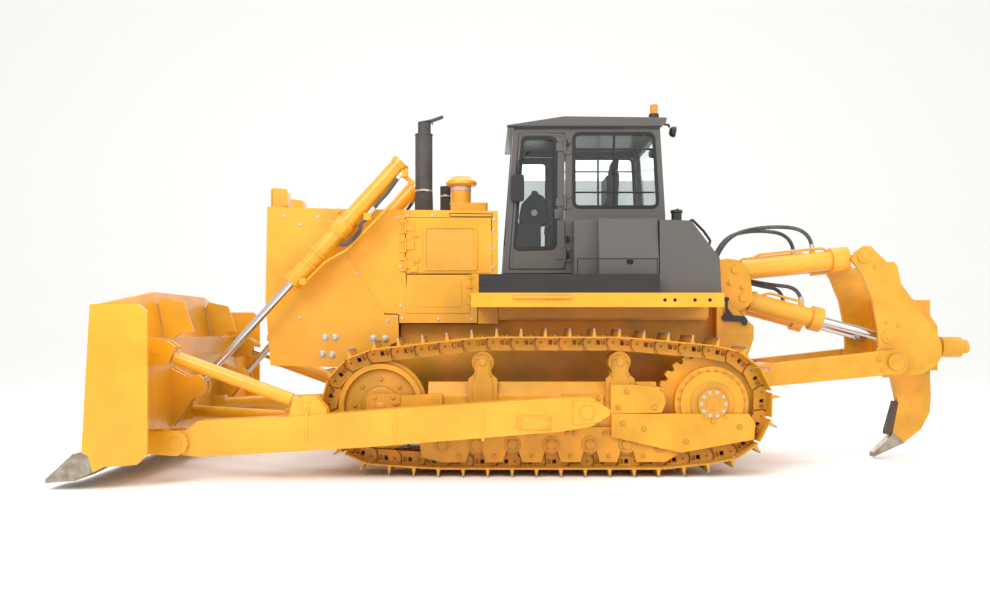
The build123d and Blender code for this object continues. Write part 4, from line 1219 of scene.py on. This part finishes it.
@dataclass(frozen=True)
class Stack:
    """The exhaust, the engine's breather and the pre-cleaner on its box."""

    stack: Flat = (1341.0, 200.0)
    breather: Flat = (1131.0, -200.0)
    cleaner: Flat = (950.0, 200.0)

    def build(self) -> None:
        """Builds the three pipes."""
        x, y = self.stack
        dark = Draft()
        dark.turned((x, y, 2586), (0, 0, 1), [(0, 112), (14, 112), (16, 98), (90, 97), (230, 93)], 40)
        dark.turned((x, y, 3424), (0, 0, 1), [(0, 93), (10, 96), (18, 93), (20, 74)], 40)
        dark.rod((x - 86, y - 50, 3560), (x - 86, y + 50, 3560), 9, 14)
        x, y = self.breather
        dark.turned((x, y, 2590), (0, 0, 1), [(0, 74), (10, 74), (12, 58), (340, 58), (352, 60), (360, 56), (361,
            44)], 32)
        dark.build("breather_and_collars", STACK_PAINT, TRACTOR, 1)
        bands = Draft()
        for (x, y), r, z in ((self.stack, 95, 2832), (self.breather, 61, 2834)):
            bands.turned((x, y, z), (0, 0, 1), [(0, r), (18, r)], 40)
            bands.box((x - 20, y + r - 4, z - 1), (x + 20, y + r + 16, z + 19))
        bands.build("pipe_band_clamps", ZINC_PLATE, TRACTOR, 1)
        x, y = self.cleaner
        case = Draft()
        case.prism(soft([(669, 60), (1059, 60), (1059, 340), (669, 340)], 30), 2582, 2705, Across.Z)
        case.turned((x, y, 2700), (0, 0, 1), [(0, 122), (12, 122), (14, 104), (136, 106)], 40)
        dome = [(189, 108), (196, 150), (206, 163), (226, 164), (238, 158), (258, 138), (270, 118), (284, 112), (286,
            60)]
        case.turned((x - 4, y, 2700), (0, 0, 1), dome, 48)
        shell = case.build("air_cleaner_case", YELLOW_ENAMEL, TRACTOR, 3)
        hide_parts("air_intakes")
        bowl = Draft()
        # The bowl's pale colour is a painted glow.
        bowl.turned((x, y, 2836), (0, 0, 1), [(0, 108), (4, 110), (48, 110), (52, 108)], 48)
        bowl.build("pre_cleaner_bowl", BOWL_PLASTIC_PAINTED_GLOW, TRACTOR)


@dataclass(frozen=True)
class Cab:
    """The cab's glazing seals, door gear, mirrors, gutter, beacon, seat and controls."""

    side: float = 705.0
    door_pane: tuple[Flat, ...] = ((405, 2191), (320, 3300), (-11, 3300), (-5, 2200))
    door_leaf: tuple[Flat, ...] = ((440, 2004), (342, 3336), (-90, 3336), (-90, 2004))
    side_pane: tuple[Flat, ...] = ((-195, 3345), (-195, 2612), (-1035, 2612), (-990, 3345))
    door_hinges: tuple[float, ...] = (3250, 2285, 2120)

    def build(self) -> None:
        """Builds the cab's fittings."""
        self._doors()
        self._windows()
        self._roof()
        self._inside()

    def _doors(self) -> None:
        """Draws each door's seal, hinges, handle and mirror."""
        for side, sign in (("left", 1), ("right", -1)):
            body = f"cab_door_{side}"
            seal = Draft()
            seal.ribbon(self.door_pane, 40, sign * (self.side - 1), sign * (self.side + 5), bend=60, closed=True)
            seal.build(f"door_window_seal_{side}", SEAL_RUBBER, body, 1)
            gear = Draft()
            gear.ribbon(self.door_leaf, 22, sign * (self.side - 1), sign * (self.side + 8), bend=40, closed=True)
            gear.prism(soft([(-70, 2490), (0, 2490), (0, 2590), (-70, 2590)], 14), sign * self.side,
                sign * (self.side + 14))
            gear.pipe([(-40, sign * 715, 2570), (-40, sign * 738, 2560), (-40, sign * 738, 2500), (-40, sign * 715,
                2490)], 8, 14)
            gear.build(f"door_frame_and_handle_{side}", CHARCOAL_ENAMEL, body, 1)
            mirror = Draft()
            mirror.pipe([(306, sign * 712, 3090), (330, sign * 760, 3090), (372, sign * 762, 3060), (372, sign * 762,
                2700)], 9, 30)
            mirror.pipe([(257, sign * 712, 3160), (290, sign * 750, 3150), (330, sign * 762, 3092)], 8, 20)
            mirror.prism(soft([(306, 2657), (438, 2657), (438, 2923), (306, 2923)], 30), sign * 764, sign * 790)
            mirror.build(f"door_mirror_{side}", BLACK_ENAMEL, body, 4)
            hinges = Draft()
            for z in self.door_hinges:
                hinges.rod((-119, sign * 722, z - 32), (-119, sign * 722, z + 32), 13, 14)
                hinges.box((-150, min(sign * 704, sign * 718), z - 28), (-100, max(sign * 704, sign * 718), z + 28))
            hinges.build(f"door_hinges_{side}", BLACK_ENAMEL, TRACTOR, 1)

    def _windows(self) -> None:
        """Draws the seals of the side windows, and their guard rails."""
        draft = Draft()
        draft.ribbon(self.side_pane, 34, self.side - 1, self.side + 6, bend=60, closed=True)
        draft.ribbon([(-600, 2620), (-596, 3340)], 22, self.side - 10, self.side + 3)
        draft.mirrored().build("side_window_seals", SEAL_RUBBER, TRACTOR, 1)
        rail = Draft()
        rail.pipe([(-215, 690, 3192), (-990, 690, 3192)], 9)
        rail.pipe([(-215, 690, 2760), (-1005, 690, 2760)], 9)
        rail.mirrored().build("window_guard_rails", BLACK_ENAMEL, TRACTOR)

    def _roof(self) -> None:
        """Draws the roof's gutters, the beacon's foot and the lid of the roof's unit."""
        gutter = Draft()
        gutter.ribbon([(478, 3412), (-1060, 3410)], 12, 733, 744)
        gutter.prism([(-700, 3398), (460, 3398), (460, 3410), (-700, 3410)], 728, 738)
        gutter.mirrored().build("roof_gutters", BLACK_ENAMEL, TRACTOR, 1)
        foot = Draft()
        foot.turned((-1021, 550, 3500), (0, 0, 1), [(0, 62), (12, 62), (16, 52), (74, 52), (78, 46)], 32)
        foot.bolt_ring((-1021, 550, 3512), (0, 0, 1), 57, 4, 9, 45)
        foot.build("beacon_foot", BLACK_ENAMEL, TRACTOR, 1)
        hatch = Draft()
        hatch.prism(soft([(-560, -300), (60, -300), (60, 300), (-560, 300)], 60), 3508, 3524, Across.Z)
        hatch.build("roof_unit_lid", CHARCOAL_ENAMEL, TRACTOR, 4)

    def _inside(self) -> None:
        """Draws the seat, the arm rests, the levers and the console."""
        cushion = Draft()
        cushion.prism(soft([(-60, 2400), (-560, 2370), (-600, 2440), (-560, 2520), (-70, 2530), (-20, 2470)], 50),
            -250, 250)
        padded = cushion.build("seat_cushion", VINYL, TRACTOR, 26)
        back = Draft()
        back.prism(soft([(-520, 2500), (-640, 3040), (-720, 3040), (-690, 2500)], 40), -235, 235)
        back.build("seat_back", VINYL, TRACTOR, 26)
        rest = Draft()
        rest.prism(soft([(-630, 3050), (-660, 3190), (-730, 3190), (-710, 3050)], 26), -130, 130)
        rest.build("seat_head_rest", VINYL, TRACTOR, 16)
        levers = Draft()
        for y, x in ((330, -80), (-330, -80), (330, -180)):
            levers.pipe([(x, y, 2480), (x + 10, y, 2640)], 11)
            levers.turned((x + 10, y, 2620), (0.05, 0, 1), [(0, 20), (40, 30), (76, 28), (84, 16)], 18)
        levers.box((-420, 280, 2440), (40, 390, 2500))
        levers.box((-420, -390, 2440), (40, -280, 2500))
        levers.pipe([(250, 0, 2480), (190, 0, 2660)], 18)
        levers.prism(soft([(160, 2640), (240, 2660), (200, 2860), (130, 2840)], 20), -170, 170)
        levers.build("cab_controls", CAB_PLASTIC, TRACTOR, 4)
        pod = Draft()
        pod.prism(soft([(30, 2470), (350, 2470), (320, 2680), (220, 2790), (100, 2780), (50, 2680)], 70), 150, 400)
        pod.build("instrument_pod", VINYL, TRACTOR, 20)
        dial = Draft()
        dial.turned((190, 398, 2590), (0, 1, 0), [(0, 34), (6, 34), (8, 30), (8, 22), (4, 20)], 28)
        dial.build("pod_dial_ring", ZINC_PLATE, TRACTOR)


@dataclass(frozen=True)
class Platform:
    """Deck, side strips, boxes and tank: holes, handles, latches and caps."""

    edge_holes: tuple[float, ...] = (-997, -1091, -1279, -1420)
    strip_bolts: tuple[Flat, ...] = ((-433, 1823), (-903, 1811), (120, 1830), (560, 1830))
    button_rows: int = 9
    button_lines: int = 3

    def build(self) -> None:
        """Builds the platform's fittings."""
        holes = Draft()
        # Each hole is a flat dark disc of painted shade.
        for x in self.edge_holes:
            holes.turned((x, 1299, 1662), (0, 1, 0), [(0, 17), (2, 17)], 20)
        holes.mirrored().build("deck_edge_hole_painted_shade", PAINTED_GAP_SHADE, TRACTOR)
        rail = Draft()
        rail.pipe([(-105, 1292, 1685), (-105, 1322, 1685), (420, 1322, 1685), (420, 1292, 1685)], 13, 26)
        rail.mirrored().build("deck_grab_rails", YELLOW_ENAMEL, TRACTOR)
        strip = Draft()
        for x, z in self.strip_bolts:
            strip.bolt((x, 1299, z), (0, 1, 0), 22)
        strip.prism(soft([(640, 1800), (736, 1800), (736, 1834), (640, 1834)], 10), 1298, 1308)
        strip.mirrored().build("side_strip_fittings", BLACK_ENAMEL, TRACTOR, 1)
        box = Draft()
        # The lids' shut lines and latch recess are dark strips of painted shade.
        box.ribbon([(-950, 1760), (-190, 1760), (-190, 2060), (-950, 2060)], 7, 1148, 1152, closed=True)
        box.prism(soft([(-720, 2010), (-660, 2010), (-660, 2052), (-720, 2052)], 10), 1149, 1158)
        box.mirrored().build("side_box_lid_painted_shade", PAINTED_GAP_SHADE, TRACTOR)
        tank = Draft()
        tank.turned((-1223, 700, 2428), (0, 0, 1), [(0, 74), (8, 74), (12, 52), (120, 52), (124, 60), (150, 60),
            (154, 50)], 28)
        tank.box((-1231, 640, 2560), (-1215, 760, 2590))
        tank.build("fuel_filler_cap", BLACK_ENAMEL, TRACTOR, 2)
        grab = Draft()
        grab.pipe([(-1300, 900, 2418), (-1330, 900, 2470), (-1450, 900, 2350), (-1520, 900, 2250), (-1480, 900,
            2180)], 13, 40)
        grab.mirrored().build("tank_grab_handles", BLACK_ENAMEL, TRACTOR)
        treads = Draft()
        for i in range(self.button_rows):
            for j in range(self.button_lines):
                x, y = 80 + i * 78, 820 + j * 140
                treads.turned((x, y, 1729), (0, 0, 1), [(0, 16), (4, 14), (4, 9), (1, 8)], 12)
        treads.mirrored().build("deck_tread_buttons", YELLOW_ENAMEL, TRACTOR)


@dataclass(frozen=True)
class Ripper:
    """The ripper's bolts, plates, pipes and tow latch."""

    side: float = 305.0
    mount_bolts: tuple[Flat, ...] = ((-1813, 1859), (-1941, 1817), (-1842, 1608), (-1950, 1545))
    latch_outline: tuple[Flat, ...] = (
        (-1748, 1694), (-1748, 1602), (-1803, 1526), (-1920, 1518), (-1950, 1476), (-1937, 1426), (-1903, 1426),
        (-1890, 1460), (-1703, 1471), (-1686, 1510), (-1731, 1551), (-1731, 1694),
    )
    # Each cylinder: its name, base, eye, body, how far its head is up the barrel, and where its port is.
    cylinders: tuple[tuple[str, Flat, Flat, str, float, float], ...] = (
        ("tilt", (-1868, 2000), (-3190, 2133), "tilt_barrel_pair", 1218, 852),
        ("raise", (-1950, 1708), (-3440, 1309), "raise_barrel_pair", 868, 673),
    )
    barrel_radius: float = 100.0

    def build(self) -> None:
        """Builds the ripper's fittings."""
        mount = Draft()
        for x, z in self.mount_bolts:
            mount.bolt((x, 480, z), (0, 1, 0), 40)
        mount.pipe([(-1900, 440, 1990), (-1760, 470, 1990), (-1700, 470, 1900)], 16, 40)
        mount.mirrored().build("ripper_mount_bolts", CAST_ENAMEL, TRACTOR)
        latch = Draft()
        latch.prism(soft(self.latch_outline, 8), 640, 660)
        latch.turned((-1740, 638, 1690), (0, 1, 0), [(0, 24), (28, 22)], 20)
        latch.build("tow_latch", BLACK_ENAMEL, TRACTOR, 2)
        pins = Draft()
        for x, z in ((-3299, 1079), (-3341, 975)):
            pins.bolt((x, 575, z), (0, 1, 0), 34)
        pins.turned((-1950, 572, 897), (0, 1, 0), [(0, 60), (12, 58), (16, 40)], 28)
        pins.mirrored().build("ripper_link_bolts", CAST_ENAMEL, "ripper_link_body")
        eyes = Draft()
        for (cx, cz), spots in (((-3190, 2133), ((-3300, 2030),)), ((-3440, 1309), ((-3416, 1461), (-3544, 1427)))):
            eyes.turned((cx, 478, cz), (0, 1, 0), [(0, 62), (12, 60), (14, 34), (20, 30)], 30)
            for x, z in spots:
                eyes.bolt((x, 480, z), (0, 1, 0), 32)
        eyes.mirrored().build("ripper_frame_pin_covers", CAST_ENAMEL, "ripper_carrier", 1)
        self._barrels()

    def _barrels(self) -> None:
        """Draws the cylinders' head bolts, ports and pipes."""
        radius = self.barrel_radius
        for name, base, eye, body, reach, port in self.cylinders:
            draft = Draft()
            length = math.dist(base, eye)
            ux, uz = (eye[0] - base[0]) / length, (eye[1] - base[1]) / length
            x, z = base[0] + ux * reach, base[1] + uz * reach
            draft.bolt_ring((x, self.side, z), (ux, 0, uz), 82, 8, 26, 22)
            for run in (170, port):
                px, pz = base[0] + ux * run, base[1] + uz * run
                draft.turned((px, self.side, pz), (0, 0, 1), [(radius - 18, 34), (radius + 12, 32), (radius + 16,
                    24)], 20)
            pipe = [(base[0] + ux * s - uz * o, self.side + 20, base[1] + uz * s + ux * o)
                    for s, o in ((220, -radius + 4), (300, -radius - 34), (reach - 260, -radius - 34), (reach - 200,
                        -radius + 4))]
            draft.pipe(pipe, 14, 50)
            draft.mirrored().build(f"ripper_{name}_barrel_fittings", CAST_ENAMEL, body)


@dataclass(frozen=True)
class Hoses:
    """The four free hoses from the ripper's mount to its cylinders, two on each side."""

    thick: float = 0.040
    shape: str = "hanging"
    fitting_reach: float = 0.07
    # Each hose: its name, the body at its far end, and its control points on the left side.
    routes: tuple[tuple[str, str, tuple[Point, ...]], ...] = (
        ("tilt_hose_long", "tilt_barrel_pair",
         ((-1742, 60, 2045), (-1830, 75, 2370), (-2250, 190, 2480), (-2712, 305, 2430), (-2716, 305, 2206))),
        ("raise_hose_long", "raise_barrel_pair",
         ((-1736, 60, 1955), (-2000, 90, 1930), (-2300, 150, 1860), (-2600, 300, 1820), (-2600, 305, 1654))),
    )

    def build(self) -> None:
        """Builds the hoses as smooth curves with their end fittings."""
        for name, body, spots in self.routes:
            for side, sign in (("left", 1), ("right", -1)):
                self._hose(f"{name}_{side}", body, [(x, y * sign, z) for x, y, z in spots])

    def _hose(self, name: str, body: str, spots: Sequence[Point]) -> None:
        """Args:
            name: the hose's name.
            body: the body at its far end.
            spots: its control points in millimetres.
        """
        curve = bpy.data.curves.new(f"{name}_run", "CURVE")
        curve.dimensions = "3D"
        curve.resolution_u = 10
        line = curve.splines.new("NURBS")
        line.points.add(len(spots) - 1)
        for point, spot in zip(line.points, spots):
            point.co = (spot[0] * MM, spot[1] * MM, spot[2] * MM, 1.0)
        line.order_u = 3
        line.use_endpoint_u = True
        holder = bpy.data.objects.new(f"{name}_holder", curve)
        track = bpy.data.meshes.new_from_object(holder)
        path = [vertex.co.copy() for vertex in track.vertices]
        draft = Draft()
        draft.pipe([tuple(p / MM) for p in path], self.thick / MM / 2, 0, 16)
        tube = draft.build(name, HOSE_RUBBER, TRACTOR)
        tube.parent = None
        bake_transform(tube)
        for end, after, where in ((path[0], path[1], TRACTOR), (path[-1], path[-2], body)):
            fitting = Draft()
            way = (end - after).normalized()
            fitting.turned(tuple((end - way * self.fitting_reach) / MM), tuple(way), [(0, 24), (34, 24), (36, 29),
                (64, 29), (70, 22)], 6)
            tag = "mount" if where == TRACTOR else "barrel"
            fitting.build(f"{name}_{tag}_fitting", ZINC_PLATE, where, 1)


ASSEMBLIES: tuple[type, ...] = (TrackChain, RunningGear, BladeGear, LiftGear, FrontHousing, Stack, Cab, Platform,
    Ripper, Hoses)




class Coats:
    """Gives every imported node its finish."""

    def dress(self, nodes: dict) -> None:
        """Puts a finish on each node's mesh.

        Args:
            nodes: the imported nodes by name.
        """
        by_node = {node: finish for finish, names in NODE_FINISH.items() for node in names}
        for name in nodes:
            finish = by_node.get(name, HOSE_RUBBER)
            mesh = bpy.data.objects[name].data
            mesh.materials.clear()
            mesh.materials.append(finish.material())
            mesh.shade_smooth()
            mesh.set_sharp_from_angle(angle=SMOOTH_ANGLE)
        LOG.info("coats: %d nodes dressed", len(nodes))


@dataclass(frozen=True)
class Studio:
    """The floor, the lights and the camera."""

    floor_half: float = 60.0
    lens: float = 35.02
    eye: Point = (0.676, 10.35, 1.379)
    shift: Flat = (0.0081, 0.0354)
    # Each soft box: its name, place, size in metres and power in watts.
    soft_boxes: tuple[tuple[str, Point, float, float], ...] = (
        ("key_box", (6.0, 12.0, 10.0), 7.0, 1250.0),
        ("fill_box", (-9.0, 11.0, 6.0), 9.0, 380.0),
        ("top_box", (0.0, 0.0, 12.0), 10.0, 640.0),
        ("rear_box", (0.0, -12.0, 9.0), 9.0, 640.0),
    )
    air_strength: float = 0.88

    def build(self) -> None:
        """Sets the whole studio up."""
        self._floor()
        self._lights()
        self._camera()

    def _floor(self) -> None:
        """Lays the pale floor, which runs up into a backdrop far behind."""
        half = self.floor_half
        mesh = bpy.data.meshes.new("studio_floor")
        rows = [(half, 0.0), (-14.0, 0.0)]
        rows += [(-14.0 - 8 * math.sin(a), 8 - 8 * math.cos(a)) for a in (0.2, 0.5, 0.8, 1.1, 1.4)]
        rows += [(-22.5, 9.0), (-23.0, 45.0)]
        points = [(x, y, z) for y, z in rows for x in (-half, half)]
        faces = [(2 * i, 2 * i + 1, 2 * i + 3, 2 * i + 2) for i in range(len(rows) - 1)]
        mesh.from_pydata(points, [], faces)
        mesh.materials.append(FLOOR_PAPER.material())
        mesh.shade_smooth()
        floor = bpy.data.objects.new("studio_floor", mesh)
        bpy.context.scene.collection.objects.link(floor)

    def _lights(self) -> None:
        """Hangs large soft boxes round the machine and a pale world."""
        for name, spot, size, power in self.soft_boxes:
            light = bpy.data.lights.new(name, "AREA")
            light.size = size
            light.energy = power
            lamp = bpy.data.objects.new(name, light)
            lamp.location = spot
            lamp.rotation_euler = (Vector((0, 0, 1.2)) - Vector(spot)).to_track_quat("-Z", "Y").to_euler()
            bpy.context.scene.collection.objects.link(lamp)
        world = bpy.data.worlds.new("studio_air")
        world.use_nodes = True
        air = world.node_tree.nodes["Background"]
        air.inputs["Color"].default_value = (1.0, 0.99, 0.975, 1.0)
        air.inputs["Strength"].default_value = self.air_strength
        bpy.context.scene.world = world
        bpy.context.scene.view_settings.view_transform = "Standard"

    def _camera(self) -> None:
        """Stands the camera level at the machine's left side."""
        data = bpy.data.cameras.new("camera")
        data.lens = self.lens
        data.sensor_width = 36.0
        data.shift_x, data.shift_y = self.shift
        data.clip_end = 200.0
        camera = bpy.data.objects.new("camera", data)
        camera.location = self.eye
        camera.rotation_euler = (math.radians(90), 0.0, math.radians(180))
        bpy.context.scene.collection.objects.link(camera)
        bpy.context.scene.camera = camera


def main() -> None:
    """Builds the scene, one sub-assembly after another."""
    logging.basicConfig(level=logging.INFO, format="%(name)s: %(message)s")
    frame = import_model()
    Coats().dress(frame["nodes"])
    for assembly in ASSEMBLIES:
        assembly().build()
        LOG.info("%s done", assembly.__name__)
    Studio().build()


if __name__ == "__main__":
    main()
